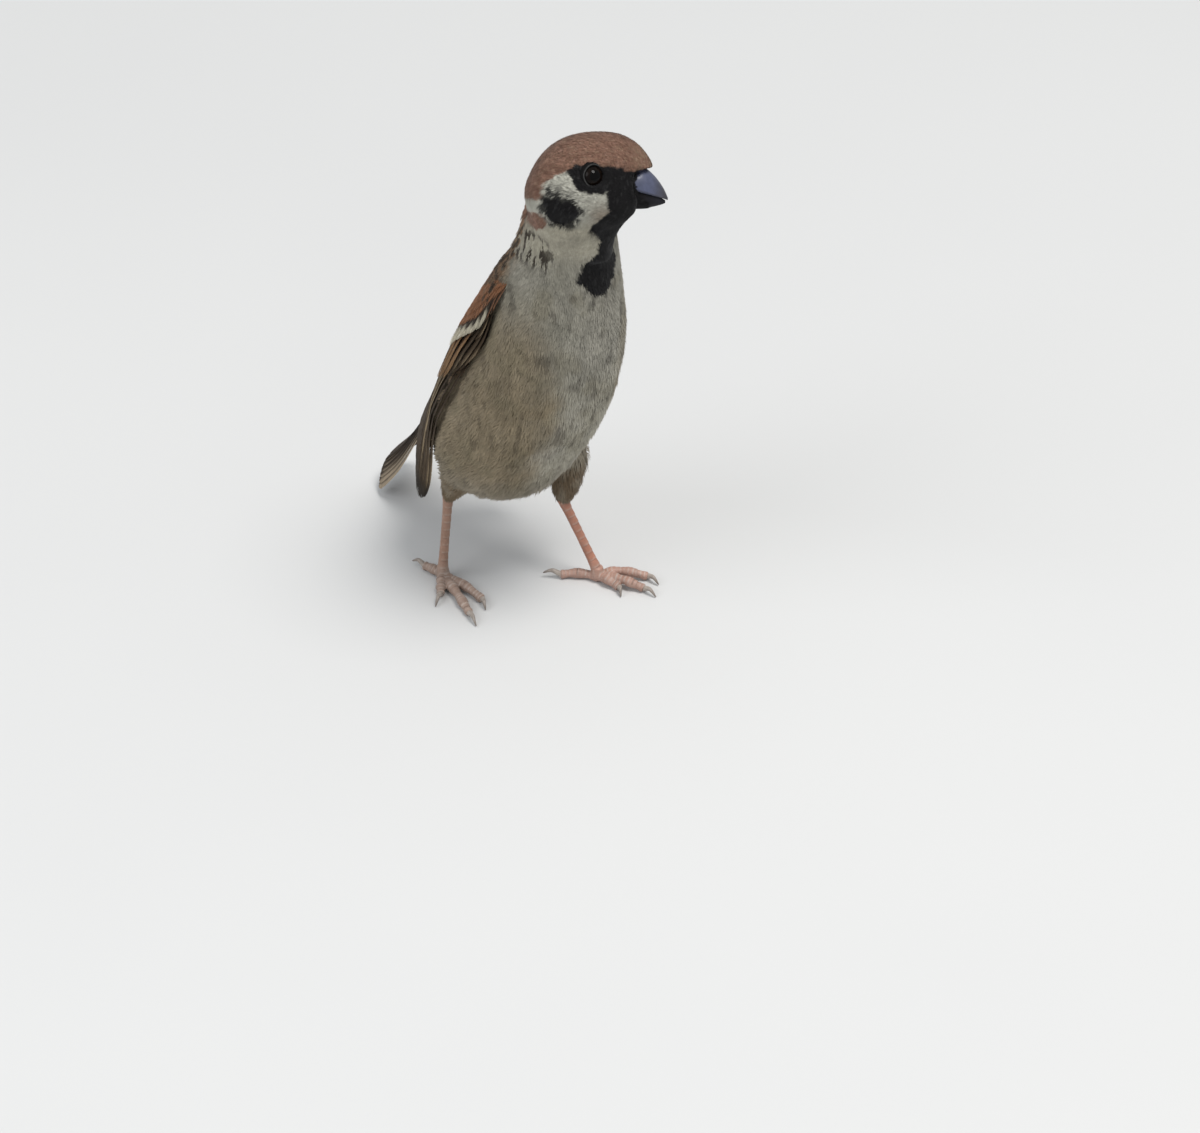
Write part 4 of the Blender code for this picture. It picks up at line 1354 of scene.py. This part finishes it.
def add_row(coat, rng, side, rows, half, paint, **style):
    """A row of like wing feathers, each given as (s0, t0, s1, t1, low, high)."""
    made = [wing_path(*row[:6], side) for row in rows]
    paths = np.stack([path for path, _ in made])
    ups = np.stack([up for _, up in made])
    maps = wing_map(np.array([row[2] for row in rows]), np.array([row[3] for row in rows]), side)
    half = np.full(len(rows), half) if np.isscalar(half) else np.asarray(half, float)
    coat.add(*feathers(paths, ups, half, paint, rng, maps, narrow=-side, **style))


def flight_rows():
    """Primaries from the outermost in, then secondaries: root, tip and height."""
    primaries = []
    for i in range(9):
        f = i / 8.0
        tip = (8.05, 8.12, 8.1, 7.75, 7.3, 6.9, 6.55, 6.25, 6.0)[i]
        upper = (0.1, 0.28, 0.48, 0.64, 0.75, 0.82, 0.86, 0.88, 0.9)[i]
        primaries.append(
            (1.9 + 0.9 * f, -0.02 + 0.34 * f, tip, upper, -0.7 + 0.02 * i, -0.55 + 0.035 * i)
        )
    secondaries = []
    for i in range(6):
        f = i / 5.0
        secondaries.append((3.0 + 0.2 * f, 0.42 + 0.3 * f, 5.75 - 0.25 * f, 0.92 + 0.04 * f,
                            -0.55 + 0.05 * i, -0.35 + 0.05 * i))
    return primaries, secondaries


def make_flight(side_name, rng):
    side = SIDES[side_name]
    coat = Coat()
    primaries, secondaries = flight_rows()
    style = dict(barbs=170, first=0.02, fullest=0.80, point=2.6, sweep=0.05, loose=0.004,
                 strand=0.15, blunt=0.9, rough=0.03, camber=0.10, tilt=0.2)
    paint = edged(REMEX, BUFF_EDGE, REMEX_TIP, 0.84, 0.85, hand=-side)
    add_row(coat, rng, side, primaries[:3], 3.4, paint, outer=0.52, **style)
    paint = edged(REMEX, BUFF_EDGE, REMEX_TIP, 0.34, 0.88, hand=-side)
    add_row(coat, rng, side, primaries[3:], 3.3, paint, outer=0.50, **style)
    paint = edged(REMEX, RUFOUS_EDGE, RUFOUS_EDGE, 0.3, 0.94, hand=-side)
    style.update(barbs=120, sweep=0.07, fullest=0.85)
    add_row(coat, rng, side, secondaries, 3.4, paint, outer=0.5, **style)
    tertials = [(3.3, 0.72, 5.6, 0.86, -0.3, -0.05), (3.2, 0.84, 5.2, 0.95, -0.2, 0.05),
                (3.0, 0.94, 4.7, 1.0, -0.1, 0.15)]
    paint = edged(STREAK, RUFOUS_EDGE, BUFF_EDGE, 0.5, 0.93)
    style.update(barbs=90, sweep=0.10, fullest=0.7)
    add_row(coat, rng, side, tertials, 3.4, paint, **style)
    return coat.object(f"flight_feathers_{side_name}")


# (s, t) of the tips of the three orders of coverts, from the wing's lower edge up
GREATER_TIPS = ((3.25, 0.02), (3.9, 0.2), (4.35, 0.5), (4.6, 0.75), (4.75, 0.98))
MEDIAN_TIPS = ((1.5, 0.0), (2.3, 0.22), (3.05, 0.42), (3.6, 0.7), (3.85, 0.96))
LESSER_TIPS = ((1.45, 0.02), (2.2, 0.24), (2.9, 0.44), (3.4, 0.7), (3.6, 0.96))
LESSER_ROWS, LESSER_STEP = 7, 0.42


def line_of_tips(points, count):
    """Evenly spaced (s, t) along a short row of tips."""
    return rows_at(points, np.linspace(0.0, len(points) - 1.0, count))


def make_coverts(side_name, rng):
    side = SIDES[side_name]
    coat = Coat()
    style = dict(barbs=46, first=0.06, fullest=0.62, point=2.4, sweep=0.13, loose=0.012,
                 strand=0.11, blunt=0.7, rough=0.04, camber=0.2, tilt=0.28)
    rows = [(s - 2.0, t * 0.85, s, t, -0.5 + 0.02 * i, -0.2 + 0.02 * i)
            for i, (s, t) in enumerate(line_of_tips(GREATER_TIPS, 11))]
    paint = edged(REMEX, BUFF_EDGE, BUFF_EDGE, 0.84, 0.95, tip_share=0.6)
    add_row(coat, rng, side, rows[:3], 2.3, paint, **style)
    paint = edged(COVERT_BROWN, RUFOUS_EDGE, BUFF_EDGE, 0.2, 0.95, tip_share=0.4)
    add_row(coat, rng, side, rows[3:], 2.7, paint, **style)
    primary = [(1.5 + 0.1 * i, 0.02 * i, 3.0 + 0.22 * i, 0.035 * i, -0.7, -0.5 + 0.03 * i)
               for i in range(5)]
    paint = edged(STREAK, BUFF_EDGE, BUFF_EDGE, 0.72, 0.95, tip_share=0.5)
    add_row(coat, rng, side, primary, 1.3, paint, **style)
    alula = [(0.95, 0.0, 2.75, 0.02, -0.45, -0.25), (0.9, 0.04, 2.3, 0.07, -0.4, -0.15)]
    paint = edged(REMEX, BUFF_EDGE, BUFF_EDGE, 0.75, 0.96, tip_share=0.4)
    add_row(coat, rng, side, alula, (1.3, 1.1), paint, **style)
    rows = [(s - 1.35, t * 0.9, s, t, -0.3 + 0.01 * i, 0.05 + 0.01 * i)
            for i, (s, t) in enumerate(line_of_tips(MEDIAN_TIPS, 12))]
    style.update(barbs=36, loose=0.02)
    add_row(coat, rng, side, rows[:2], 1.8, edged(STREAK, RUFOUS, BUFF_EDGE, 0.6, 0.9), **style)
    add_row(coat, rng, side, rows[2:], 2.2, edged(STREAK, STREAK, BAR_WHITE, 0.95, 0.50), **style)
    lesser_paint = edged(RUFOUS, RUFOUS, MANTLE_PALE, 0.5, 0.93, tip_share=0.2)
    style.update(barbs=22, loose=0.04, strand=0.10, blunt=0.0, sweep=0.26)
    for k in range(LESSER_ROWS):
        rows = []
        for s, t in line_of_tips(LESSER_TIPS, 15 - k):
            s = s - (LESSER_STEP * (k + 1) - 0.05) + rng.uniform(-0.06, 0.06)
            if s > 0.3:
                rows.append((max(s - 0.9, 0.0), t, s, t + rng.uniform(-0.03, 0.03),
                             -0.25, 0.1 + 0.02 * k + rng.uniform(-0.04, 0.06)))
        if rows:
            add_row(coat, rng, side, rows, 1.35, lesser_paint, **style)
    return coat.object(f"wing_coverts_{side_name}")


# ---------------------------------------------------------------- tail
def make_tail(rng):
    """Twelve tail feathers laid over a low roof, the middle pair uppermost."""
    coat = Coat()
    share = np.linspace(0.0, 1.0, 11)
    style = dict(barbs=150, first=0.02, fullest=0.86, point=3.0, sweep=0.05, loose=0.004,
                 strand=0.16, blunt=0.9, rough=0.03, camber=0.04, tilt=0.2)
    for hand in (-1.0, 1.0):
        for i in range(6):
            lateral = hand * (0.10 + (0.146 if hand < 0 else 0.126) * i)
            end = 2.90 + 0.2 * (i / 5.0) ** 0.8
            a = 0.05 + (end - 0.05) * share
            across = lateral * (0.5 + 0.5 * share**0.7)
            height = np.full(11, 0.45 - 0.15 * i - 0.03 * hand)
            path = tail_place(a, across, height)
            beside = tail_place(a, across + 0.05, height) - tail_place(a, across - 0.05, height)
            above = tail_place(a, across, height + 1.0) - path
            over = unit(np.cross(np.gradient(path, axis=0), beside))
            over = over * np.sign((over * above).sum(-1, keepdims=True))
            pale = ((0.86, 0.86, 0.80, 0.5, 0.3, 0.0) if hand < 0 else (0.86,) * 6)[i]
            paint = edged(TAIL_BROWN, TAIL_EDGE, TAIL_EDGE, pale, 0.985, hand=-hand, tip_share=0.4)
            place_on_map = arr((0.05 + 0.07 * (i + 6 * (hand > 0)), 0.9))
            coat.add(*feathers(
                path[None], over[None], arr(3.0), paint, rng, place_on_map[None], outer=0.6,
                narrow=-hand, **style
            ))
    return coat.object("tail_feathers")


# ---------------------------------------------------------------- eyes and lids
EYE_OPENING = (1.84, 2.02)  # half length and half height between the lids
LID_PROFILE = (  # share of the opening, outward from the eye's centre
    (0.97, 1.60), (0.985, 1.76), (1.03, 1.86), (1.08, 1.91), (1.13, 1.96), (1.18, 1.95),
    (1.23, 1.86), (1.34, 1.70), (1.56, 1.20),
)
LID_TONES = (0.003, 0.003, 0.005, 0.012, 0.050, 0.036, 0.007, 0.004, 0.004)


def make_eye(side_name, material):
    """The eyeball with its bulging cornea, pupil and dark iris."""
    centre, ahead, above, outward = eye_axes(SIDES[side_name])
    polar = np.linspace(0.0, np.pi, 41)[1:-1]
    polar, turn = np.meshgrid(polar, around(56), indexing="ij")
    radius = EYE_RADIUS * (1.0 + 0.05 * np.exp(-((polar / 0.62) ** 2)))
    local = np.stack(
        (np.sin(polar) * np.cos(turn), np.sin(polar) * np.sin(turn), np.cos(polar)), -1
    ) * radius[..., None]
    points, faces = loft_mesh(local @ np.stack((ahead, above, outward)) + centre)
    obj = object_from(f"eye_{side_name}_globe", points, faces)
    fix_normals(obj)
    away = points - centre
    angle = np.arccos(np.clip(unit(away) @ outward, -1, 1))
    spoke = np.arctan2(away @ above, away @ ahead)
    fibre = 0.5 + 0.5 * np.sin(spoke * 37.0 + 3.0 * np.sin(spoke * 11.0))
    iris = mix((0.004, 0.0025, 0.002), (0.008, 0.005, 0.0035), fibre)
    colour = mix((0.002, 0.002, 0.002), iris, ramp(angle, 0.42, 0.50))
    colour = mix(colour, (0.004, 0.004, 0.004), ramp(angle, 0.74, 0.84))
    set_colours(obj, colour)
    return finish_piece(obj, material, "eye", f"eye_{side_name}")


def make_lids(side_name, material):
    """The bare beaded ring of the eyelids, from the eyeball over to the feathers."""
    centre, ahead, above, outward = eye_axes(SIDES[side_name])
    turn = around(96)
    long, high = EYE_OPENING
    corner = 1.0 + 0.05 * np.cos(2 * turn) ** 3
    rings = []
    for share, out in LID_PROFILE:
        bead = 0.03 * np.cos(turn * 22.0) * (1.1 <= share <= 1.25)
        x = np.cos(turn) * long * share * corner
        y = np.sin(turn) * high * share
        rings.append(
            centre + x[:, None] * ahead + y[:, None] * above + (out + bead)[:, None] * outward
        )
    rings = np.concatenate((rings, np.array(rings) - outward * 0.25))
    lined = rings.reshape(-1, 3)
    rows, sides = len(LID_PROFILE), len(turn)
    base, last = rows * sides, (rows - 1) * sides
    faces = []
    for a, b, c, d in ring_quads(rows, sides):
        faces += [(a, b, c, d), (base + d, base + c, base + b, base + a)]
    for i in range(sides):
        j = (i + 1) % sides
        faces.append((i, base + i, base + j, j))
        faces.append((last + i, last + j, base + last + j, base + last + i))
    obj = object_from(f"eyelids_{side_name}", lined, faces)
    fix_normals(obj)
    grey = np.tile(np.repeat(LID_TONES, sides), 2) * (1.0 + 0.25 * noise(lined, 0.3, 81))
    set_colours(obj, grey[:, None] * arr(1.0, 0.98, 0.96))
    return finish_piece(obj, material, "leg_skin")


# ---------------------------------------------------------------- bill
BILL_FINENESS = 9  # rings to a section
RISE_POWER, SIDE_POWER = 0.95, 0.86  # how square the bill is in section: 1 is round
NOSTRIL = (9.3, 1.05)  # forward, up
NOSTRIL_SIZE = (0.75, 0.42)


def bill_half(rise):
    """Rings of one half of the bill in the head's frame."""
    last = len(BILL_SECTIONS) - 1.0
    rings = []
    for at in np.linspace(0.0, last, int(last * BILL_FINENESS) + 1):
        forward, culmen, edge, lower, half = rows_at(BILL_SECTIONS, at)
        if rise < 0:
            half = half * LOWER_BILL_WIDTH
            forward = forward - LOWER_BILL_SHORT * at / last
        base = edge + rise * 0.05
        height = max(abs((culmen if rise > 0 else lower) - base), 0.2)
        angle = np.linspace(0.0, np.pi, 29)
        side = np.sign(np.cos(angle)) * np.abs(np.cos(angle)) ** SIDE_POWER * half
        ridge = 1.0 + 0.05 * np.exp(-(((angle - np.pi / 2) / 0.22) ** 2))
        up = base + rise * np.sin(angle) ** RISE_POWER * height * ridge
        tomium = 0.16 * np.sin(np.pi * at / last) * np.exp(-((np.sin(angle) / 0.18) ** 2))
        arch = np.stack((np.full(29, forward), up - rise * tomium, side), -1)
        floor_side = np.linspace(-0.85, 0.85, 9) * half
        palate = np.stack((np.full(9, forward), np.full(9, base + rise * 0.28 * min(half, 1.0)),
                           floor_side), -1)
        rings.append(np.concatenate((arch, palate)))
    return np.array(rings)


def make_bill(rise, name, material, node):
    rings = bill_half(rise)
    local = rings.reshape(-1, 3)
    if rise > 0:
        offset = (local[:, :2] - np.array(NOSTRIL)) / np.array(NOSTRIL_SIZE)
        pit = np.exp(-((offset**2).sum(1)) * 1.2) * (np.abs(local[:, 2]) > 1.2)
        local[:, 2] -= np.sign(local[:, 2]) * 0.55 * pit
    else:
        pit = np.zeros(len(local))
    points, faces = loft_mesh(head_place(local).reshape(rings.shape))
    obj = object_from(name, points, faces)
    fix_normals(obj)
    spot = in_head(points)
    tone = 1.0 + 0.16 * noise(spot * arr(0.5, 1.0, 1.0), 0.7, 82) + 0.1 * noise(spot, 0.25, 83)
    # the upper bill's lighter blue-grey is its dark horn plus a painted bluish reflection of the
    # sky
    colour = mix((0.062, 0.070, 0.118), (0.040, 0.038, 0.046), ramp(spot[:, 0], 11.5, 15.5))
    if rise < 0:
        colour = mix((0.012, 0.011, 0.012), (0.016, 0.016, 0.020), ramp(spot[:, 0], 10.0, 14.5))
    colour = colour * tone[:, None]
    # painted shade in the nostril hollow
    colour[: len(pit)] *= (1 - 0.9 * np.clip(pit * 1.4, 0, 1))[:, None]
    set_colours(obj, colour)
    return finish_piece(obj, material, "bill", node)


def make_bill_fringe(lie, rng):
    """Short feathers that reach from the face over the root of the bill, longest at the chin."""
    turn = np.linspace(-np.pi, np.pi, 230, endpoint=False) + rng.uniform(-0.02, 0.02, 230)
    rise, across = np.sin(turn), np.cos(turn)
    share = np.array((-0.55, 0.0, 0.35, 0.7, 1.0))
    chin = ramp(-rise, 0.1, 0.9)
    middle = -2.3
    height = np.where(rise > 0, 2.9 - middle, -6.0 - middle) * np.abs(rise) ** RISE_POWER
    front = through(FACE_FRONT, middle + height * 0.9) + 0.2 * chin
    front = np.minimum(front, 9.9) + rng.uniform(-0.35, 0.25, len(turn))
    reach = (1.1 + 0.9 * chin) * rng.uniform(0.8, 1.25, len(turn))
    forward = front[:, None] + share * reach[:, None]
    row = rows_at(BILL_SECTIONS, np.clip((forward - 6.6) / 2.15, 0.0, 4.0))
    limit = np.where(rise[:, None] > 0, row[..., 1], row[..., 3])
    up = row[..., 2] + np.abs(rise[:, None]) ** RISE_POWER * (limit - row[..., 2])
    out = np.sign(across[:, None]) * np.abs(across[:, None]) ** SIDE_POWER * row[..., 4]
    away = np.stack((np.zeros_like(rise), rise, across), -1)[:, None] + np.zeros((len(share), 1))
    lift = np.interp(share, (-0.55, 0.0, 1.0), (0.0, 0.16, 0.20))[None, :, None]
    paths = head_place(np.stack((forward, up, out), -1) + unit(away) * lift)
    ups = head_vector(unit(away))
    _, maps = lie.at(paths[:, 0])
    every = np.ones(len(paths), bool)
    return grown(
        {"bill_fringe": every}, paths, ups, maps, reach * 0.24, soft_paint(0.12, 0.8), rng, barbs=5,
        first=0.2, fullest=0.5, sweep=0.45, loose=0.12, strand=0.06, rough=0.05, tilt=0.2,
    )


# ---------------------------------------------------------------- legs
# each leg has its own tones: the right leg's are duller and darker than the left's, as painted
# shade on the leg in shadow
SHANK = {"right": (0.310, 0.180, 0.125), "left": (0.370, 0.165, 0.108)}
FOOT = {"right": (0.300, 0.212, 0.170), "left": (0.370, 0.225, 0.178)}
# colour of the painted highlight on the raised rims of the scales
SCUTE_HIGHLIGHT = (0.44, 0.37, 0.32)
SCALE_TARSUS, SCALE_TOE = 1.75, 0.82  # length of one scale
SHIN_TURN = {"right": 0.25, "left": 0.4}  # how far a shin's scales face the bird's left
LEG_VOXEL = 0.15
CLAW_ARCH = 0.75
TARSUS_RADII = (1.2, 0.98, 0.9, 0.94, 1.12)
TARSUS_SHARES = (-0.06, 0.12, 0.5, 0.8, 0.98)


def toe_line(side_name, toe):
    """Axis of a toe in the row frame, finely spaced."""
    left, forward, _ = ANKLES[side_name]
    knuckle, end, _, arch, _ = TOES[side_name][toe]
    rows = ((left, forward, TOE_HEIGHT + 0.1), (*knuckle, arch), (*end, TOE_HEIGHT))
    return place(rows_at(rows, np.linspace(0.0, 2.0, 41)))


def make_leg(side_name, material):
    """Tarsus, foot and toes in one skin, with scales in front and pads below."""
    heel, ankle = np.array(HEELS[side_name]), np.array(ANKLES[side_name])
    shank = place(heel + (ankle - heel) * np.array(TARSUS_SHARES)[:, None])
    shapes = [tube_mesh(shank, TARSUS_RADII, 20)]
    left, forward, up = ankle
    pad = place(((left, forward, 0.75), (left, forward, 1.3), (left, forward, up + 0.9)))
    shapes.append(tube_mesh(pad, (1.35, 1.5, 1.15), 20))
    lines = []
    for toe in TOES[side_name]:
        axis = toe_line(side_name, toe)
        share = np.linspace(0.0, 1.0, len(axis))
        radii = np.interp(share, (0.0, 0.5, 1.0), TOE_RADII)
        joints = 3 if toe in ("middle", "outer") else 2
        radii = radii * (1.0 + 0.13 * np.cos(2 * np.pi * joints * share))
        radii[-4:] *= (0.98, 0.93, 0.84, 0.66)
        shapes.append(tube_mesh(axis, radii, 18))
        lines.append(axis)
    obj = remeshed(f"leg_{side_name}", shapes, LEG_VOXEL, 3)
    points, normals = vertices_of(obj), normals_of(obj)
    best = np.full(len(points), 1e9)
    along_toe = np.zeros(len(points))
    for axis in lines:
        run = np.concatenate(((0.0,), np.cumsum(np.linalg.norm(np.diff(axis, axis=0), axis=1))))
        away = np.linalg.norm(points[:, None] - axis[None], axis=-1)
        index = away.argmin(1)
        closer = away.min(1) < best
        along_toe[closer] = run[index[closer]]
        best = np.minimum(best, away.min(1))
    way = unit(place(ankle) - place(heel))
    down = (points - place(heel)) @ way
    shin = points[:, 2] > 3.0
    ahead = unit(arr(SHIN_TURN[side_name], -1.0, 0.0))
    in_front = ramp(normals @ ahead, -0.15, 0.45)
    above = ramp(normals[:, 2], -0.1, 0.5)
    saw_shin = (down / SCALE_TARSUS) % 1.0
    saw_toe = (along_toe / SCALE_TOE) % 1.0
    saw = np.where(shin, saw_shin, saw_toe)
    bump = np.where(shin, 0.10 * in_front, 0.10 * above) * (saw - 0.35 - ramp(saw, 0.88, 1.0) * 0.9)
    papilla = np.where(shin, 0.03, 0.06) * noise(points, 0.34, 91)
    papilla = papilla * np.where(shin, 1 - in_front, 1 - above)
    points = points + normals * (bump + papilla)[:, None]
    points[:, 2] = np.maximum(points[:, 2], 0.0)
    move_vertices(obj, points)
    colour = mix(FOOT[side_name], SHANK[side_name], ramp(points[:, 2], 1.4, 6.0))
    # painted highlight: pale rims where the scales rise and face up and ahead
    rim = ramp(saw, 0.62, 0.86) * fade(saw, 0.93, 1.0)
    pale = rim * np.where(shin, 0.30 * in_front, 0.6 * above)
    colour = mix(colour, SCUTE_HIGHLIGHT, np.clip(pale + 0.12 * noise(points, 0.8, 92), 0, 1))
    # painted shade in the grooves under the scales' edges
    crease_shade = fade(saw, 0.0, 0.10) * np.where(shin, 0.45 * in_front, 0.6 * above)
    colour = mix(colour, (0.10, 0.065, 0.05), np.clip(crease_shade, 0, 1))
    colour = colour * (1.0 + 0.14 * noise(points, 1.6, 93))[:, None]
    set_colours(obj, colour)
    return finish_piece(obj, material, "leg_skin", f"tarsus_{side_name}", f"foot_{side_name}")


def make_claws(side_name, material):
    """The horn claws, each out of its toe's end."""
    for toe, (_, end, tip, _, tip_height) in TOES[side_name].items():
        start = np.array((*end, TOE_HEIGHT + 0.1))
        tip = np.array((*tip, tip_height))
        back = start + (start - tip) * 0.12
        rows = (back, start, start + (tip - start) * 0.5 + UP * CLAW_ARCH, tip)
        at = np.linspace(0.0, 3.0, 31)
        axis = rows_at(rows, at)
        axis[:, 2] = np.maximum(axis[:, 2], 0.14)
        radii = np.interp(at, (0.0, 1.0, 2.0, 2.7, 3.0), (0.5, 0.62, 0.42, 0.2, 0.1))
        points, faces = tube_mesh(place(axis), radii, 18)
        points[:, 2] = np.maximum(points[:, 2], 0.0)
        obj = object_from(f"horn_{side_name}_{toe}", points, faces)
        fix_normals(obj)
        share = np.linalg.norm(points - place(start), axis=1) / np.linalg.norm(tip - start)
        colour = mix((0.36, 0.31, 0.27), (0.19, 0.16, 0.14), ramp(share, 0.3, 1.0))
        colour = colour * (1.0 + 0.2 * noise(points, 0.35, 94))[:, None]
        set_colours(obj, colour)
        finish_piece(obj, material, "claw", f"claw_{side_name}_{toe}")


# ---------------------------------------------------------------- materials
def set_inputs(node, **values):
    for name, value in values.items():
        node.inputs[name.replace("_", " ")].default_value = value


def new_material(name):
    """A material, its shader, and functions that add a node and link two."""
    made = bpy.data.materials.new(name)
    made.use_nodes = True
    tree = made.node_tree

    def add(kind, **values):
        node = tree.nodes.new("ShaderNode" + kind)
        set_inputs(node, **values)
        return node

    def wire(source, output, target, socket):
        tree.links.new(source.outputs[output], target.inputs[socket])

    return made, tree.nodes["Principled BSDF"], add, wire
def surface(name, roughness, variation, grain, bump, sheen=0.0, coat=0.0, specular=0.5):
    """A material that takes its colour from the markings and breaks it up with fine grain."""
    made, shader, add, wire = new_material(name)
    marks = add("Attribute")
    marks.attribute_name = "Plumage"
    where = add("TexCoord")
    fine = add("TexNoise", Scale=grain, Detail=4.0, Roughness=0.6)
    wire(where, "Object", fine, "Vector")
    low, high = 1 - variation, 1 + variation
    shade = add("MapRange", From_Min=0.25, From_Max=0.75, To_Min=low, To_Max=high)
    wire(fine, "Fac", shade, "Value")
    tint = add("Mix")
    tint.data_type, tint.blend_type = "RGBA", "MULTIPLY"
    set_inputs(tint, Factor=1.0)
    wire(marks, "Color", tint, "A")
    wire(shade, "Result", tint, "B")
    wire(tint, "Result", shader, "Base Color")
    gloss = add("MapRange", To_Min=max(roughness - 0.08, 0.0), To_Max=min(roughness + 0.08, 1.0))
    wire(fine, "Fac", gloss, "Value")
    wire(gloss, "Result", shader, "Roughness")
    if bump:
        relief = add("Bump", Strength=0.6, Distance=bump * MM)
        wire(fine, "Fac", relief, "Height")
        wire(relief, "Normal", shader, "Normal")
    set_inputs(shader, Sheen_Weight=sheen, Sheen_Roughness=0.5, Coat_Weight=coat,
               Coat_Roughness=0.03, Specular_IOR_Level=specular)
    return made


def floor_material():
    made, shader, add, wire = new_material("studio_floor")
    grain, tone = add("TexNoise", Scale=40.0), add("ValToRGB")
    tone.color_ramp.elements[0].color = (0.60, 0.60, 0.60, 1.0)
    tone.color_ramp.elements[1].color = (0.64, 0.64, 0.635, 1.0)
    wire(grain, "Fac", tone, "Fac")
    wire(tone, "Color", shader, "Base Color")
    set_inputs(shader, Roughness=0.8)
    return made


# ---------------------------------------------------------------- stage, light, camera
VIEW_AZIMUTH, VIEW_ELEVATION = -37.0, 35.0
VIEW_DISTANCE = 2.8
VIEW_SCALE = 4900.0  # image units per metre at the bird's feet
IMAGE = (1200.0, 1133.0)
FEET = (520.0, 572.0)  # where the point between the feet lies in the image


def make_stage():
    size = 3.0
    corners = arr((-size, -size, 0), (size, -size, 0), (size, size, 0), (-size, size, 0)) / MM
    floor = object_from("studio_floor", corners, [(0, 1, 2, 3)], smooth=False)
    floor.location.z = -0.00005
    floor.data.materials.append(floor_material())


def aimed(name, spot, target, size, power, colour):
    lamp = bpy.data.lights.new(name, "AREA")
    lamp.shape = "DISK"
    lamp.size = size
    lamp.energy = power
    lamp.color = colour
    made = in_scene(name, lamp)
    made.location = spot
    made.rotation_euler = (Vector(target) - Vector(spot)).to_track_quat("-Z", "Y").to_euler()


def view_axes():
    a, e = math.radians(VIEW_AZIMUTH), math.radians(VIEW_ELEVATION)
    back = Vector((math.sin(a) * math.cos(e), -math.cos(a) * math.cos(e), math.sin(e)))
    right = Vector((math.cos(a), math.sin(a), 0.0))
    return right, back.cross(right), back


def make_lights():
    right, _, back = view_axes()
    middle = Vector((0.0, 0.0, 0.06))
    world = bpy.data.worlds.new("studio")
    bpy.context.scene.world = world
    world.use_nodes = True
    set_inputs(world.node_tree.nodes["Background"], Color=(0.95, 0.98, 1.0, 1.0), Strength=0.56)
    key = middle + right * 0.35 + Vector((0, 0, 0.95)) + back * 0.25
    aimed("key", key, middle, 0.55, 11.0, (1.0, 0.985, 0.96))
    fill = middle - right * 0.7 + back * 0.5 + Vector((0, 0, 0.35))
    aimed("fill", fill, middle, 0.7, 3.0, (0.95, 0.97, 1.0))


def make_camera():
    right, up, back = view_axes()
    feet = Vector(place((0.0, 0.0, 0.0)) * MM)
    data = bpy.data.cameras.new("camera")
    data.sensor_width = 36.0
    data.lens = 36.0 * VIEW_SCALE * VIEW_DISTANCE / IMAGE[0]
    data.clip_end = 20.0
    camera = in_scene("camera", data)
    offset = right * ((IMAGE[0] / 2 - FEET[0]) / VIEW_SCALE)
    offset += up * ((FEET[1] - IMAGE[1] / 2) / VIEW_SCALE)
    camera.location = feet + offset + back * VIEW_DISTANCE
    camera.rotation_euler = (-back).to_track_quat("-Z", "Y").to_euler()
    bpy.context.scene.camera = camera


# ---------------------------------------------------------------- the model
FLESH = ("trunk", "neck", "head", "thigh_right", "thigh_left", "wing_right", "wing_left", "tail")


def main():
    fine = 1.0
    rng = np.random.default_rng(SEED)
    down = surface("soft_plumage", 0.9, 0.10, 1400.0, 0.0, sheen=0.08, specular=0.10)
    vane = surface("vanes", 0.7, 0.12, 1800.0, 0.0, specular=0.10)
    hide = surface("skin", 0.8, 0.15, 1200.0, 0.05)
    horn = surface("bill_horn", 0.34, 0.14, 900.0, 0.03)
    dark_horn = surface("bill_horn_dark", 0.5, 0.14, 900.0, 0.03, specular=0.10)
    leg = surface("leg_scales", 0.5, 0.14, 1800.0, 0.04)
    nail = surface("claw_horn", 0.36, 0.12, 1500.0, 0.03)
    rim = surface("lid_skin", 0.75, 0.15, 2500.0, 0.02, specular=0.08)
    wet = surface("eye_wet", 0.08, 0.05, 3000.0, 0.0, coat=0.10, specular=0.05)

    skin = make_skin()
    points = vertices_of(skin)
    # the skin carries the markings darkened by SKIN_SHADE: painted shade under the coat
    set_colours(skin, plumage(points) * SKIN_SHADE)
    finish_piece(skin, hide, "plumage", *FLESH)
    ground, lie, cover = Ground(skin), Lie(), wing_cover()

    coats = make_soft_coat(ground, lie, cover, rng, fine) + make_bill_fringe(lie, rng)
    coats += make_head_coat(ground, lie, cover, rng, fine)
    for coat in coats:
        finish_piece(coat, down, "plumage")
    for coat in make_back_coat(ground, lie, cover, rng, fine):
        finish_piece(coat, vane, "plumage")
    for side_name in SIDES:
        finish_piece(make_coverts(side_name, rng), vane, "plumage", f"wing_{side_name}")
        finish_piece(make_flight(side_name, rng), vane, "flight_feathers", f"wing_{side_name}")
        make_eye(side_name, wet)
        make_lids(side_name, rim)
        make_leg(side_name, leg)
        make_claws(side_name, nail)
    finish_piece(make_tail(rng), vane, "flight_feathers", "tail")
    make_bill(1.0, "bill_upper_horn", horn, "bill_upper")
    make_bill(-1.0, "bill_lower_horn", dark_horn, "bill_lower")

    make_stage()
    make_lights()
    make_camera()
    bpy.context.scene.view_settings.view_transform = "Standard"


main()
